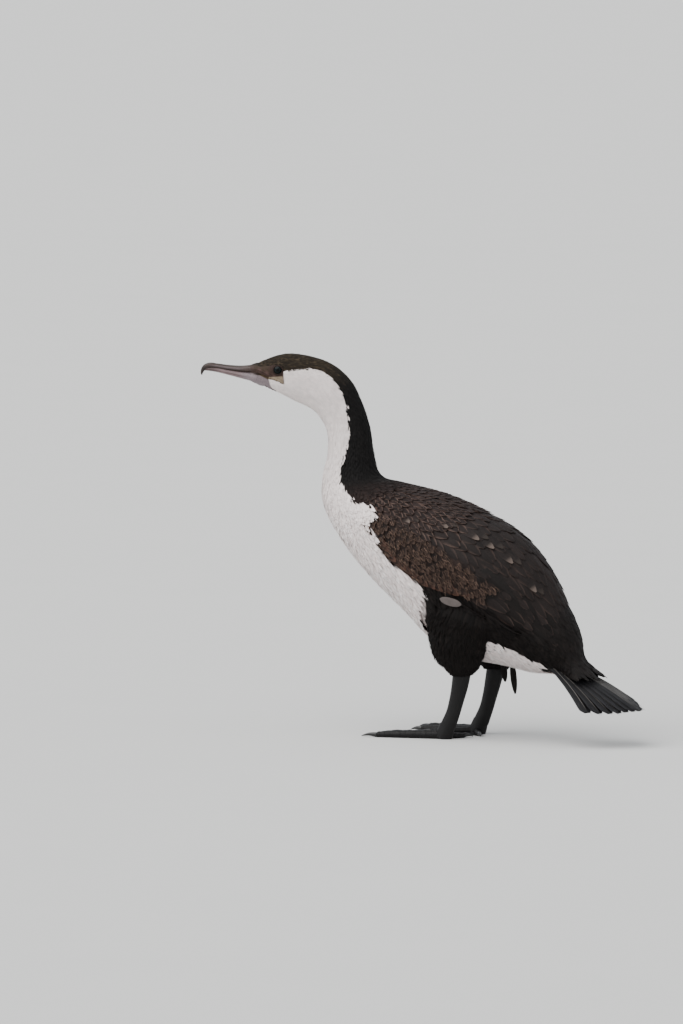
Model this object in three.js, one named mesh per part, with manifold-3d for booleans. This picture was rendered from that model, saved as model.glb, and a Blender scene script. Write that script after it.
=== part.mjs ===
// A standing cormorant, life-size, in millimetres: bill towards -X, its left side towards -Y, soles on Z = 0.
import * as THREE from 'three';
import { mergeVertices } from 'three/addons/utils/BufferGeometryUtils.js';
import Module from 'manifold-3d';

const wasm = await Module();
wasm.setup();

// Driving dimensions
const GAP = 0.3;                 // clearance between neighbouring pieces
const HEAD_TURN = 22;            // degrees that the head looks to the bird's left
const NECK_PIVOT_X = -121;       // upright axis that the head turns about
const WING_DEPTH = 5.5;          // thickness of the folded wing over the flank
const WING_REACH = 90;           // far enough out to either side to clear the body
const EYE_RADIUS = 5.2;
const EYE_PLACE = { x: -192.3, y: 9.0, z: 353.6 };
const FOOT_SPREAD = 28;          // half the distance between the two ankles
const RIGHT_LEG_BACK = 6;        // the right leg stands a little behind the left one
const WEB_THICKNESS = 1.2;
const WEB_CLEARANCE = 0.6;       // height of the web's underside over the floor
const TOE_SINK = 0.75;           // a toe's middle is this share of its radius over the floor

// Facets round and along each piece
const BODY_SIDES = 24;
const LIMB_SIDES = 10;
const EYE_SIDES = 14;
const WING_STEPS = 3;
const STEPS_PER_STATION = 2;

// Close vertices are one, short edges are dropped, and a slanted gap is a little wider along the body
const MERGE = 1e-4;
const TINY_EDGE = 0.02;
const SKEW = 1.5;
const WING_SKEW = 1.6;

const SIDES = { left: -1, right: 1 };

// Stations from the bill's base back to the tail's root: centre x and z, half height, half width,
// lean of the section's top towards the tail in degrees, and the share of the head's turn.
const STATIONS = [
  { name: 'bill_base', x: -214, z: 350.4, half: 10.6, wide: 7.6, lean: 0, turn: 1 },
  { name: 'eye', x: -193.3, z: 351.0, half: 18.2, wide: 12.8, lean: 2, turn: 1 },
  { name: 'cheek', x: -177, z: 348.6, half: 22.4, wide: 15.4, lean: 8, turn: 1 },
  { name: 'nape', x: -154.5, z: 341.6, half: 24.4, wide: 15.8, lean: 30, turn: 1 },
  { name: 'throat', x: -140, z: 331.3, half: 24.0, wide: 15.6, lean: 50, turn: 1 },
  { name: 'neck_top', x: -130.5, z: 317, half: 22.5, wide: 15.2, lean: 68, turn: 0.8 },
  { name: 'neck_middle', x: -122.5, z: 297, half: 22.0, wide: 15.8, lean: 82, turn: 0.5 },
  { name: 'neck_low', x: -120, z: 274, half: 24.0, wide: 17.8, lean: 89, turn: 0.2 },
  { name: 'neck_base', x: -119, z: 250, half: 30.5, wide: 25, lean: 85, turn: 0 },
  { name: 'shoulder', x: -106, z: 233.5, half: 41.5, wide: 38, lean: 71, turn: 0 },
  { name: 'breast', x: -79, z: 214.5, half: 51.5, wide: 50, lean: 58, turn: 0 },
  { name: 'keel', x: -53.8, z: 199, half: 59, wide: 56, lean: 52, turn: 0 },
  { name: 'middle', x: -26, z: 182.5, half: 65, wide: 60, lean: 50, turn: 0 },
  { name: 'belly', x: 1.5, z: 165.5, half: 69, wide: 60, lean: 47, turn: 0 },
  { name: 'hip', x: 29, z: 144.5, half: 71, wide: 56, lean: 44, turn: 0 },
  { name: 'vent', x: 62, z: 123, half: 60.5, wide: 47, lean: 43, turn: 0 },
  { name: 'undertail', x: 89, z: 105, half: 45, wide: 35, lean: 46, turn: 0 },
  { name: 'rump', x: 112, z: 87, half: 31, wide: 25, lean: 52, turn: 0 },
  { name: 'tail_root', x: 127, z: 76, half: 16, wide: 19, lean: 56, turn: 0 },
];

// Cuts between the named lengths of head, neck and trunk, as places along the list of stations
const CUTS = {
  head_front: 0.35,
  head_back: 4.1,
  neck_upper: 5.6,
  neck_middle: 7.0,
  neck_lower: 8.3,
  tail_root: STATIONS.length - 1,
};

const radians = (degrees) => THREE.MathUtils.degToRad(degrees);
const vector = (x, y, z) => new THREE.Vector3(x, y, z);

// Turns a point of the straight head about the neck's upright axis
function turned(point, share) {
  const angle = radians(HEAD_TURN * share);
  const ahead = point.x - NECK_PIVOT_X;
  return vector(
    NECK_PIVOT_X + ahead * Math.cos(angle) - point.y * Math.sin(angle),
    ahead * Math.sin(angle) + point.y * Math.cos(angle),
    point.z,
  );
}

// Closed skin over a row of rings of points, with a fan over either end
function loft(rings) {
  const sides = rings[0].length;
  const last = rings.length - 1;
  const positions = rings.flat();
  const index = [];
  const around = (r, s) => r * sides + (s % sides);
  for (let r = 0; r < last; r += 1) {
    for (let s = 0; s < sides; s += 1) {
      index.push(around(r, s), around(r, s + 1), around(r + 1, s));
      index.push(around(r, s + 1), around(r + 1, s + 1), around(r + 1, s));
    }
  }
  [0, last].forEach((r) => {
    const middle = positions.length;
    positions.push(rings[r].reduce((sum, p) => sum.add(p), vector(0, 0, 0)).divideScalar(sides));
    for (let s = 0; s < sides; s += 1) {
      const edge = [around(r, s), around(r, s + 1)];
      index.push(middle, ...(r === 0 ? edge.reverse() : edge));
    }
  });
  const geometry = new THREE.BufferGeometry().setFromPoints(positions);
  geometry.setIndex(index);
  return facingOut(geometry);
}

// Turns a closed geometry's triangles round if it is inside out
function facingOut(geometry) {
  const place = geometry.attributes.position;
  const index = geometry.index.array;
  const corner = [vector(), vector(), vector()];
  let volume = 0;
  for (let i = 0; i < index.length; i += 3) {
    corner.forEach((c, k) => c.fromBufferAttribute(place, index[i + k]));
    volume += corner[0].dot(corner[1].cross(corner[2]));
  }
  if (volume < 0) index.reverse();
  return geometry;
}

// A geometry as a solid that can be cut and joined, and such a solid's largest body as a geometry
function solid(geometry) {
  const bare = geometry.clone();
  bare.deleteAttribute('normal');
  bare.deleteAttribute('uv');
  const merged = mergeVertices(bare, MERGE);
  return new wasm.Manifold(new wasm.Mesh({
    numProp: 3,
    vertProperties: new Float32Array(merged.attributes.position.array),
    triVerts: new Uint32Array(merged.index.array),
  }));
}

function surface(manifold) {
  const [largest] = manifold.decompose().sort((a, b) => b.volume() - a.volume());
  const mesh = largest.simplify(TINY_EDGE).getMesh();
  const geometry = new THREE.BufferGeometry();
  geometry.setAttribute('position', new THREE.BufferAttribute(mesh.vertProperties, 3));
  geometry.setIndex(new THREE.BufferAttribute(mesh.triVerts, 1));
  return geometry;
}

// Section of the body at a place along the stations
const uniform = (points) => new THREE.CatmullRomCurve3(points, false, 'catmullrom', 0.5);
const pathCurve = uniform(STATIONS.map((s) => vector(s.x, s.lean, s.z)));
const sizeCurve = uniform(STATIONS.map((s) => vector(s.half, s.wide, s.turn)));

function section(place) {
  const share = place / (STATIONS.length - 1);
  const path = pathCurve.getPoint(share);
  const size = sizeCurve.getPoint(share);
  return { x: path.x, lean: radians(path.y), z: path.z, half: size.x, wide: size.y, turn: size.z };
}

function bodyRing(place, sides, margin) {
  const { x, z, lean, half, wide, turn } = section(place);
  return Array.from({ length: sides }, (_, i) => {
    const angle = (2 * Math.PI * i) / sides;
    const rise = (half + margin) * Math.cos(angle);
    const aside = (wide + margin) * Math.sin(angle);
    return turned(vector(x + rise * Math.sin(lean), aside, z + rise * Math.cos(lean)), turn);
  });
}

// Length of the body between two places, grown all round by a margin
function bodyLength(from, to, sides, margin = 0) {
  const steps = Math.ceil((to - from) * STEPS_PER_STATION);
  const rings = Array.from({ length: steps + 1 }, (_, i) => (
    bodyRing(from + ((to - from) * i) / steps, sides, margin)
  ));
  return loft(rings);
}

// The place just past a cut that leaves the gap free between two lengths
function pastGap(place) {
  const step = 0.01;
  const here = section(place);
  const there = section(place + step);
  return place + (SKEW * GAP * step) / Math.hypot(there.x - here.x, there.z - here.z);
}

// Loft along stations in space, each with a centre, a half height and a half width
function limb(stations, { grow = 0, floor = false } = {}) {
  const line = uniform(stations.map((s) => vector(...s.at)));
  const sizes = uniform(stations.map((s) => vector(s.high + grow, s.wide + grow, 0)));
  const steps = (stations.length - 1) * STEPS_PER_STATION;
  const rings = Array.from({ length: steps + 1 }, (_, i) => {
    const centre = line.getPoint(i / steps);
    const along = line.getTangent(i / steps);
    const size = sizes.getPoint(i / steps);
    const up = along.clone().cross(vector(0, 1, 0)).normalize();
    const across = up.clone().cross(along).normalize();
    return Array.from({ length: LIMB_SIDES }, (__, k) => {
      const angle = (2 * Math.PI * k) / LIMB_SIDES;
      const point = centre.clone()
        .addScaledVector(up, size.x * Math.cos(angle))
        .addScaledVector(across, size.y * Math.sin(angle));
      if (floor) point.z = Math.max(point.z, 0);
      return point;
    });
  });
  return loft(rings);
}

// The same stations on the bird's other side, and moved back
const placed = (stations, side, back = 0) => stations.map((s) => ({
  ...s, at: [s.at[0] + back, side * s.at[1], s.at[2]],
}));

// Materials
const finish = (color, roughness) => new THREE.MeshStandardMaterial({ color, roughness, metalness: 0 });
const FINISH = {
  white: finish(0xe4dcd8, 0.85),
  brown: finish(0x2b2420, 0.85),
  black: finish(0x15120f, 0.85),
  wing: finish(0x3a2f28, 0.8),
  bill: finish(0x6b5a52, 0.45),
  pouch: finish(0xa49aa0, 0.5),
  eye: finish(0x141c1c, 0.08),
  tail: finish(0x2a2c30, 0.7),
  skin: finish(0x1f1d1e, 0.55),
  claw: finish(0x17130f, 0.4),
};

const cormorant = new THREE.Group();

function add(name, manifold, material) {
  const mesh = new THREE.Mesh(surface(manifold), material);
  mesh.name = name;
  cormorant.add(mesh);
}

// Eyes in their sockets, and the head
function eyeball(side, margin) {
  const ball = new THREE.SphereGeometry(EYE_RADIUS + margin, EYE_SIDES, EYE_SIDES / 2);
  const place = turned(vector(EYE_PLACE.x, side * EYE_PLACE.y, EYE_PLACE.z), 1);
  return solid(ball.translate(place.x, place.y, place.z));
}

let head = solid(bodyLength(CUTS.head_front, CUTS.head_back, BODY_SIDES));
Object.entries(SIDES).forEach(([name, side]) => {
  head = head.subtract(eyeball(side, GAP));
  add(`eye_${name}`, eyeball(side, 0), FINISH.eye);
});
add('head', head, FINISH.white);

// Neck in three lengths
[
  ['neck_upper', CUTS.head_back, CUTS.neck_upper],
  ['neck_middle', CUTS.neck_upper, CUTS.neck_middle],
  ['neck_lower', CUTS.neck_middle, CUTS.neck_lower],
].forEach(([name, from, to]) => {
  add(name, solid(bodyLength(pastGap(from), to, BODY_SIDES)), FINISH.white);
});

// Bill: each half is a loft along stations of the straight head
const BILL_UPPER = [
  { x: -206, z: 355.6, high: 6.0, wide: 7.4 },
  { x: -216, z: 355.7, high: 4.0, wide: 6.2 },
  { x: -229, z: 355.4, high: 3.0, wide: 5.0 },
  { x: -242, z: 356.4, high: 2.6, wide: 4.0 },
  { x: -254, z: 358.1, high: 2.3, wide: 3.3 },
  { x: -262, z: 358.2, high: 2.5, wide: 3.0 },
  { x: -266.4, z: 355.6, high: 2.2, wide: 2.4 },
  { x: -268.4, z: 351.2, high: 1.2, wide: 1.5 },
  { x: -268.3, z: 348.8, high: 0.4, wide: 0.5 },
];
const BILL_LOWER = [
  { x: -206, z: 343.4, high: 5.9, wide: 6.6 },
  { x: -216, z: 346.9, high: 4.4, wide: 5.7 },
  { x: -228, z: 348.6, high: 3.4, wide: 4.6 },
  { x: -241, z: 351.0, high: 2.5, wide: 3.6 },
  { x: -254, z: 353.6, high: 1.9, wide: 2.9 },
  { x: -263.4, z: 353.4, high: 1.1, wide: 1.8 },
];
const onHead = (rows) => rows.map((r) => ({ ...r, at: turned(vector(r.x, 0, r.z), 1).toArray() }));
const headRoom = solid(bodyLength(CUTS.head_front - (pastGap(CUTS.head_front) - CUTS.head_front),
  CUTS.head_back, BODY_SIDES, GAP));
const billUpper = solid(limb(onHead(BILL_UPPER)));
const billUpperRoom = solid(limb(onHead(BILL_UPPER), { grow: GAP }));
add('bill_upper', billUpper.subtract(headRoom), FINISH.bill);
add('bill_lower', solid(limb(onHead(BILL_LOWER))).subtract(headRoom).subtract(billUpperRoom), FINISH.pouch);

// Outline of the folded wing seen from the side, from the bend of the wing along its lower edge to
// the tip and back over the shoulder feathers
const WING_OUTLINE = [
  [-80, 212], [-80, 200], [-70, 186], [-52, 171], [-32, 159], [-14, 150], [6, 143], [38, 128],
  [94, 101], [131, 87], [151, 77], [152, 98], [138, 126], [110, 160], [70, 207], [20, 244], [-40, 252],
].map(([x, z]) => new THREE.Vector2(x, z));

// That outline, grown by a margin, carried through from one y to another
function wingPrism(margin, from, to) {
  const centre = WING_OUTLINE.reduce((sum, p) => sum.add(p), new THREE.Vector2())
    .divideScalar(WING_OUTLINE.length);
  const grown = WING_OUTLINE.map((p) => {
    const outward = p.clone().sub(centre);
    return p.clone().addScaledVector(outward.normalize(), WING_SKEW * margin);
  });
  const shape = new THREE.Shape();
  shape.moveTo(grown[0].x, grown[0].y);
  shape.splineThru(grown.slice(1));
  shape.closePath();
  const prism = new THREE.ExtrudeGeometry(shape, {
    depth: to - from, bevelEnabled: false, curveSegments: WING_STEPS,
  });
  return solid(prism.rotateX(Math.PI / 2).translate(0, to, 0));
}

// Blade of the flight feathers, past the rump, on the left side
const FLIGHT_BLADE = [
  { at: [80, 28, 124], high: 18, wide: 5 },
  { at: [104, 21, 113], high: 19, wide: 4 },
  { at: [123, 13, 104], high: 17, wide: 3 },
  { at: [134, 7, 92], high: 11, wide: 2.2 },
  { at: [144, 5, 79], high: 3, wide: 1.2 },
];

// Trunk with a place for either wing, and the wings over it
const form = solid(bodyLength(pastGap(CUTS.neck_lower), CUTS.tail_root, BODY_SIDES));
const coreFrom = CUTS.neck_lower + 0.2;
const core = solid(bodyLength(coreFrom, CUTS.tail_root, BODY_SIDES, -WING_DEPTH));
const coreRoom = solid(bodyLength(coreFrom, CUTS.tail_root, BODY_SIDES, GAP - WING_DEPTH));
const wingSlot = wingPrism(GAP, -WING_REACH, WING_REACH);
const trunk = form.subtract(wingSlot.subtract(core));
add('trunk', trunk, FINISH.white);
Object.entries(SIDES).forEach(([name, side]) => {
  const reach = [side * (GAP / 2), side * WING_REACH].sort((a, b) => a - b);
  const blade = solid(limb(placed(FLIGHT_BLADE, side)));
  add(`wing_${name}`, form.add(blade).intersect(wingPrism(0, ...reach)).subtract(coreRoom), FINISH.wing);
});

// Tail fan
const TAIL = [
  { at: [118, 0, 78], high: 11, wide: 16 },
  { at: [134, -1, 69], high: 8, wide: 22 },
  { at: [150, -4, 59.5], high: 4.5, wide: 32 },
  { at: [167, -5, 49.5], high: 2.4, wide: 39 },
  { at: [184, -3, 40], high: 1.5, wide: 35 },
  { at: [196, 0, 33], high: 0.8, wide: 20 },
];
const formRoom = solid(bodyLength(CUTS.neck_lower, CUTS.tail_root, BODY_SIDES, GAP));
const tail = solid(limb(TAIL)).subtract(formRoom).subtract(wingPrism(2 * GAP, -WING_REACH, WING_REACH));
add('tail', tail, FINISH.tail);

// Legs: thigh, lower leg, webbed foot and claws, given for the side away from zero
const THIGH = [
  { at: [30, 34, 134], high: 40, wide: 22 },
  { at: [23, 34, 110], high: 36, wide: 21 },
  { at: [20, 32, 90], high: 30, wide: 18 },
  { at: [21, 30, 75], high: 22, wide: 13 },
  { at: [21, 28.5, 64], high: 11, wide: 8 },
];
const SHIN = [
  { at: [21, 28.5, 64.6], high: 9.4, wide: 6.8 },
  { at: [18.6, FOOT_SPREAD, 52], high: 8.6, wide: 6 },
  { at: [15, FOOT_SPREAD, 38], high: 7.6, wide: 5.2 },
  { at: [11, FOOT_SPREAD, 25], high: 7.3, wide: 5.1 },
  { at: [5.5, FOOT_SPREAD, 12.4], high: 8, wide: 6 },
];
const KNUCKLE = [
  { at: [5.3, FOOT_SPREAD, 12], high: 8, wide: 6 },
  { at: [2.5, FOOT_SPREAD, 6], high: 8.6, wide: 7 },
  { at: [0.5, FOOT_SPREAD, 1], high: 8.6, wide: 7.4 },
];
// Each toe: where its tip lies ahead of the knuckle and out from it, its radii and its claw's length
const TOES = [
  { name: 'hind', ahead: -14, out: -19, radius: 3.4, tipRadius: 2.5, claw: 10 },
  { name: 'inner', ahead: 41, out: -22, radius: 4.2, tipRadius: 2.8, claw: 11 },
  { name: 'middle', ahead: 61, out: -3, radius: 4.8, tipRadius: 3.0, claw: 12 },
  { name: 'outer', ahead: 65, out: 20, radius: 5.2, tipRadius: 3.2, claw: 15 },
];

const toeTip = (toe, side, back) => vector(back - toe.ahead, side * (FOOT_SPREAD + toe.out), 0);

function toeSolid(toe, side, back) {
  const root = vector(back, side * FOOT_SPREAD, 0);
  const tip = toeTip(toe, side, back);
  const stations = [0, 0.35, 0.7, 1].map((share) => {
    const radius = THREE.MathUtils.lerp(toe.radius, toe.tipRadius, share);
    const at = root.clone().lerp(tip, share).setZ(radius * TOE_SINK);
    return { at: at.toArray(), high: radius, wide: radius };
  });
  return solid(limb(stations, { floor: true }));
}

function clawSolid(toe, side, back) {
  const tip = toeTip(toe, side, back);
  const outward = tip.clone().sub(vector(back, side * FOOT_SPREAD, 0)).normalize();
  const shape = [
    { along: GAP, high: 2.4, wide: 1.9, rise: 2.2 },
    { along: 0.5 * toe.claw, high: 1.9, wide: 1.4, rise: 2.0 },
    { along: toe.claw, high: 0.5, wide: 0.5, rise: 0.4 },
  ];
  return solid(limb(shape.map(({ along, high, wide, rise }) => ({
    at: tip.clone().addScaledVector(outward, along).setZ(rise).toArray(), high, wide,
  })), { floor: true }));
}

// Web from toe to toe, with a scalloped front edge
function webSolid(side, back) {
  const [hind, inner, middle, outer] = TOES.map((toe) => toeTip(toe, side, back));
  const root = vector(back + 3, side * FOOT_SPREAD, 0);
  const shape = new THREE.Shape();
  shape.moveTo(root.x, root.y);
  shape.lineTo(hind.x, hind.y);
  [[hind, inner], [inner, middle], [middle, outer]].forEach(([from, to]) => {
    const pull = from.clone().add(to).multiplyScalar(0.5).lerp(root, 0.16);
    shape.quadraticCurveTo(pull.x, pull.y, to.x, to.y);
  });
  shape.closePath();
  const web = new THREE.ExtrudeGeometry(shape, { depth: WEB_THICKNESS, bevelEnabled: false, curveSegments: 5 });
  return solid(web.translate(0, 0, WEB_CLEARANCE));
}

Object.entries(SIDES).forEach(([name, side]) => {
  const back = name === 'right' ? RIGHT_LEG_BACK : 0;
  const thigh = (grow) => solid(limb(placed(THIGH, side, back), { grow }));
  const shin = (grow) => solid(limb(placed(SHIN, side, back), { grow }));
  const knuckle = solid(limb(placed(KNUCKLE, side, back), { floor: true }));
  const foot = TOES.reduce((whole, toe) => whole.add(toeSolid(toe, side, back)), knuckle)
    .add(webSolid(side, back))
    .subtract(shin(GAP));
  add(`thigh_${name}`, thigh(0).subtract(formRoom), FINISH.black);
  add(`shin_${name}`, shin(0).subtract(thigh(GAP)), FINISH.skin);
  add(`foot_${name}`, foot, FINISH.skin);
  TOES.forEach((toe) => add(`claw_${name}_${toe.name}`, clawSolid(toe, side, back), FINISH.claw));
});

// The origin is under the middle of the whole bird, on the floor
const extent = new THREE.Box3().setFromObject(cormorant);
const middle = extent.getCenter(vector());
cormorant.position.set(-middle.x, -middle.y, -extent.min.z);

export default cormorant;
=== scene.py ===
"""A standing cormorant: skin, feathers, bill, eyes and webbed feet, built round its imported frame."""

import math

import bpy
import numpy as np
from mathutils import Matrix, Vector
from mathutils.bvhtree import BVHTree
from mathutils.kdtree import KDTree


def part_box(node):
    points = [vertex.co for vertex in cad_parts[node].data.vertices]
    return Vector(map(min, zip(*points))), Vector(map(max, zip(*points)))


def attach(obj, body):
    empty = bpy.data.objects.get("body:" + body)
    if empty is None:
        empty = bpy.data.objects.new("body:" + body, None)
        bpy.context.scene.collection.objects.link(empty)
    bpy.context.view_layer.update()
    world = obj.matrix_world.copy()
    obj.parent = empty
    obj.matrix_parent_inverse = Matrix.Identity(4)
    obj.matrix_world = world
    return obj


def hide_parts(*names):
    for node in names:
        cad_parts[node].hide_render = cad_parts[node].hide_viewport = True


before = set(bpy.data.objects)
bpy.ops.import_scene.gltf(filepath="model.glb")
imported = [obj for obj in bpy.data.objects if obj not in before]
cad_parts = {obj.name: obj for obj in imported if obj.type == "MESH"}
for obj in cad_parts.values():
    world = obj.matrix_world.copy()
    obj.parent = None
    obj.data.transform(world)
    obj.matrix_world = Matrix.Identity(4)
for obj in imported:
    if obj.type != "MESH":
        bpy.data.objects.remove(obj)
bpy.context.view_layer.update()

bl_info = {
    "name": "Standing Cormorant",
    "version": (1, 0, 0),
    "blender": (4, 5, 0),
    "location": "View3D > Sidebar > Cormorant",
    "description": "Builds a life-size cormorant with solid feathers round its frame",
    "category": "Add Mesh",
}

MM = 0.001
SEED = 41

# Body stations from the bill's base back to the tail's root, and two over the tail for its coverts, in
# millimetres: centre x and z, half height, half width, lean of the section in degrees, share of the
# head's turn
STATIONS = np.array([
    (-214.0, 350.4, 10.6, 7.6, 0, 1.0),
    (-193.3, 351.0, 18.2, 12.8, 2, 1.0),
    (-177.0, 348.6, 22.4, 15.4, 8, 1.0),
    (-154.5, 341.6, 24.4, 15.8, 30, 1.0),
    (-140.0, 331.3, 24.0, 15.6, 50, 1.0),
    (-130.5, 317.0, 22.5, 15.2, 68, 0.8),
    (-122.5, 297.0, 22.0, 15.8, 82, 0.5),
    (-120.0, 274.0, 24.0, 17.8, 89, 0.2),
    (-119.0, 250.0, 30.5, 25.0, 85, 0),
    (-106.0, 233.5, 41.5, 38.0, 71, 0),
    (-79.0, 214.5, 51.5, 50.0, 58, 0),
    (-53.8, 199.0, 59.0, 56.0, 52, 0),
    (-26.0, 182.5, 65.0, 60.0, 50, 0),
    (1.5, 165.5, 69.0, 60.0, 47, 0),
    (29.0, 144.5, 71.0, 56.0, 44, 0),
    (62.0, 123.0, 60.5, 47.0, 43, 0),
    (89.0, 105.0, 45.0, 35.0, 46, 0),
    (112.0, 87.0, 31.0, 25.0, 52, 0),
    (127.0, 76.0, 16.0, 19.0, 56, 0),
    (144.0, 66.0, 10.0, 25.0, 44, 0),
    (168.0, 52.5, 5.0, 30.0, 32, 0),
], float)
LAST_STATION = 18
FORM_END = len(STATIONS) - 1
# How far short of a form's end the rings and roots stop, in stations
FORM_MARGIN = 0.02
HEAD_TURN = math.radians(22)
NECK_PIVOT_X = -121.0
EYE_X, EYE_Y, EYE_Z = -190.8, 9.0, 355.1
FRAME_EYE_X = -192.3
EYE_RADIUS = 5.2

# The frame's origin lies under the middle of the whole bird; the stations start from the left ankle
EYE_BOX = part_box("eye_left")
EYE_AHEAD = FRAME_EYE_X - NECK_PIVOT_X
SHIFT_X = (
    (EYE_BOX[0].x + EYE_BOX[1].x) / 2 / MM
    - NECK_PIVOT_X
    - EYE_AHEAD * math.cos(HEAD_TURN)
    - EYE_Y * math.sin(HEAD_TURN)
)

# Edge between the dark back and the white front: place along the stations, degrees from the back
DARK_EDGE = np.array([
    (0.0, 96), (1.3, 94), (1.5, 80), (2.2, 66), (2.6, 56), (3.1, 54), (3.8, 62), (4.2, 60), (4.9, 70),
    (5.4, 74), (6.1, 78), (6.6, 86), (7.2, 92), (7.9, 87), (8.6, 82), (9.1, 86), (9.35, 82), (9.6, 74),
    (10.0, 80), (10.5, 98), (11.25, 108), (11.9, 110), (12.5, 108), (13.1, 107), (13.3, 108), (13.5, 120),
    (13.7, 140), (14.0, 152), (18.0, 156),
], float)
# Outlines on the straight head's side view, x and z in millimetres: bare face, pale gape and pouch
FACE_OUTLINE = np.array([
    (-240, 363.4), (-222, 361.2), (-216.6, 359.2), (-207.3, 358.6), (-195.4, 360.4), (-188.9, 359.0),
    (-185.3, 354.5), (-184.6, 341.6), (-188.5, 340.8), (-200.4, 346.0), (-199.8, 342.0), (-198.2, 338.0),
    (-192, 332.5), (-192, 326), (-240, 326),
], float)
FACE_TOP_POINTS = 6
GAPE_OUTLINE = np.array([
    (-200.5, 348.2), (-192, 348.9), (-185.6, 349.6), (-184.6, 341.2), (-188.4, 341.0), (-200.5, 346.0),
], float)
POUCH_OUTLINE = np.array([
    (-240, 352.2), (-226, 351.0), (-209, 349.3), (-200.0, 345.2), (-199.0, 341.5), (-197.4, 338.0),
    (-191, 332.5),
    (-191, 326), (-240, 326),
], float)
MOUTH_LINE = np.array([(-236, 353.4), (-209.5, 350.4), (-197.1, 345.3), (-186.2, 341.2)], float)
# The bill along its middle line: x, z, half height and half width, in millimetres
BILL_UPPER = [
    (-203, 355.4, 6.6, 7.8), (-209, 355.8, 5.2, 7.0), (-216, 355.7, 4.1, 6.0), (-229, 355.4, 3.1, 4.9),
    (-242, 356.4, 2.7, 4.0), (-254, 358.1, 2.4, 3.3), (-262, 358.2, 2.6, 3.0), (-266.4, 355.6, 2.2, 2.4),
    (-268.4, 351.2, 1.2, 1.5), (-268.3, 348.8, 0.4, 0.5),
]
BILL_LOWER = [
    (-201, 343.4, 5.3, 6.2), (-209, 344.8, 5.9, 6.3), (-216, 347.2, 4.7, 5.5), (-228, 349.4, 3.8, 4.5),
    (-241, 351.9, 3.0, 3.4), (-254, 354.4, 2.5, 2.6), (-262.5, 354.6, 1.6, 1.8), (-266.0, 353.6, 0.5, 0.6),
]
# Upper edge of the frayed wing coverts, their lower edge and the wing's own lower edge, as place along
# the stations and degrees from the back
COVERT_TOP = np.array([(9.7, 70), (11.0, 64), (12.4, 66), (13.4, 63), (14.4, 61), (15.3, 64)], float)
COVERT_LOW = np.array([
    (10.4, 97), (11.3, 106), (12.5, 107), (13.3, 98), (13.7, 91), (14.3, 81), (15.3, 66),
], float)
WING_LOW = np.array([
    (10.4, 97), (11.3, 106), (13.0, 105), (13.5, 100), (14.5, 97), (15.5, 97), (16.1, 92), (17.3, 66),
], float)


def edge_at(table, place):
    """The second column of a table at a value of its first."""
    return np.interp(place, table[:, 0], table[:, 1])


def mix(a, b, share):
    return a + (b - a) * share


def blend(tint, colour, share):
    """Colours led over to another one, by a share at each point."""
    return mix(tint, colour, share[..., None])


def smooth(low, high, value):
    """0 up to low, 1 from high on, and a soft step between."""
    share = np.clip((value - low) / (high - low), 0, 1)
    return share * share * (3 - 2 * share)


def bump(value, middle, width):
    """1 at the middle, falling to 0 on both sides."""
    return np.exp(-((value - middle) / width) ** 2)


def catmull(rows, places):
    """Values of a smooth curve through rows, at places counted in rows."""
    rows = np.asarray(rows, float)
    ends = np.vstack([2 * rows[0] - rows[1], rows, 2 * rows[-1] - rows[-2]])
    places = np.asarray(places, float)
    first = np.clip(np.floor(places).astype(int), 0, len(rows) - 2)
    w = (places - first)[..., None]
    a, b, c, d = (ends[first + k] for k in range(4))
    bend = 2 * a - 5 * b + 4 * c - d
    twist = 3 * b - a - 3 * c + d
    return 0.5 * (2 * b + (c - a) * w + bend * w ** 2 + twist * w ** 3)


def turned(x, y, z, share=1.0):
    """Points of the straight head, in millimetres, turned about the neck and put in the frame."""
    angle = HEAD_TURN * share
    ahead = x - NECK_PIVOT_X
    return np.stack([
        (NECK_PIVOT_X + SHIFT_X + ahead * np.cos(angle) - y * np.sin(angle)) * MM,
        (ahead * np.sin(angle) + y * np.cos(angle)) * MM,
        z * MM + 0 * ahead,
    ], -1)


def form(place, around, margin=0.0):
    """Points of the body's outer form, at degrees from the back; minus is the bird's left."""
    row = catmull(STATIONS, np.clip(place, 0, FORM_END))
    x, z, half, wide, lean, share = (row[..., k] for k in range(6))
    lean = np.radians(lean)
    angle = np.radians(around)
    rise = (half + margin) * np.cos(angle)
    aside = (wide + margin) * np.sin(angle)
    return turned(x + rise * np.sin(lean), aside, z + rise * np.cos(lean), share)


def unit(v):
    return v / np.maximum(np.linalg.norm(v, axis=-1, keepdims=True), 1e-12)


class BodyForm:
    """The outer form of head, neck and trunk, going on over the tail's root."""

    last = FORM_END

    def point(self, place, around, margin=0.0):
        return form(place, around, margin)

    def root_uv(self, place, around):
        return map_place(place, around)


class LimbForm:
    """A round limb along stations of centre x, y, z, half height and half width, in millimetres."""

    def __init__(self, rows, map_corner=(0.0, 0.0), map_size=0.2):
        self.rows = np.array(rows, float)
        self.last = len(rows) - 1
        self.map_corner = map_corner
        self.map_size = map_size

    def point(self, place, around, margin=0.0):
        place = np.clip(place, 0, self.last)
        row = catmull(self.rows, place)
        step = 0.02
        ahead = catmull(self.rows, np.minimum(place + step, self.last))[..., :3]
        behind = catmull(self.rows, np.maximum(place - step, 0))[..., :3]
        along = unit(ahead - behind)
        up = unit(np.cross(along, np.array([0.0, 1.0, 0.0])))
        across = np.cross(up, along)
        angle = np.radians(around)
        high = ((row[..., 3] + margin) * np.cos(angle))[..., None]
        wide = ((row[..., 4] + margin) * np.sin(angle))[..., None]
        at = row[..., :3] + up * high + across * wide
        return (at + np.array([SHIFT_X, 0, 0])) * MM

    def root_uv(self, place, around):
        u = self.map_corner[0] + self.map_size * place / self.last
        v = self.map_corner[1] + self.map_size * ((around + 180) % 360) / 360
        return u, v


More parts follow.
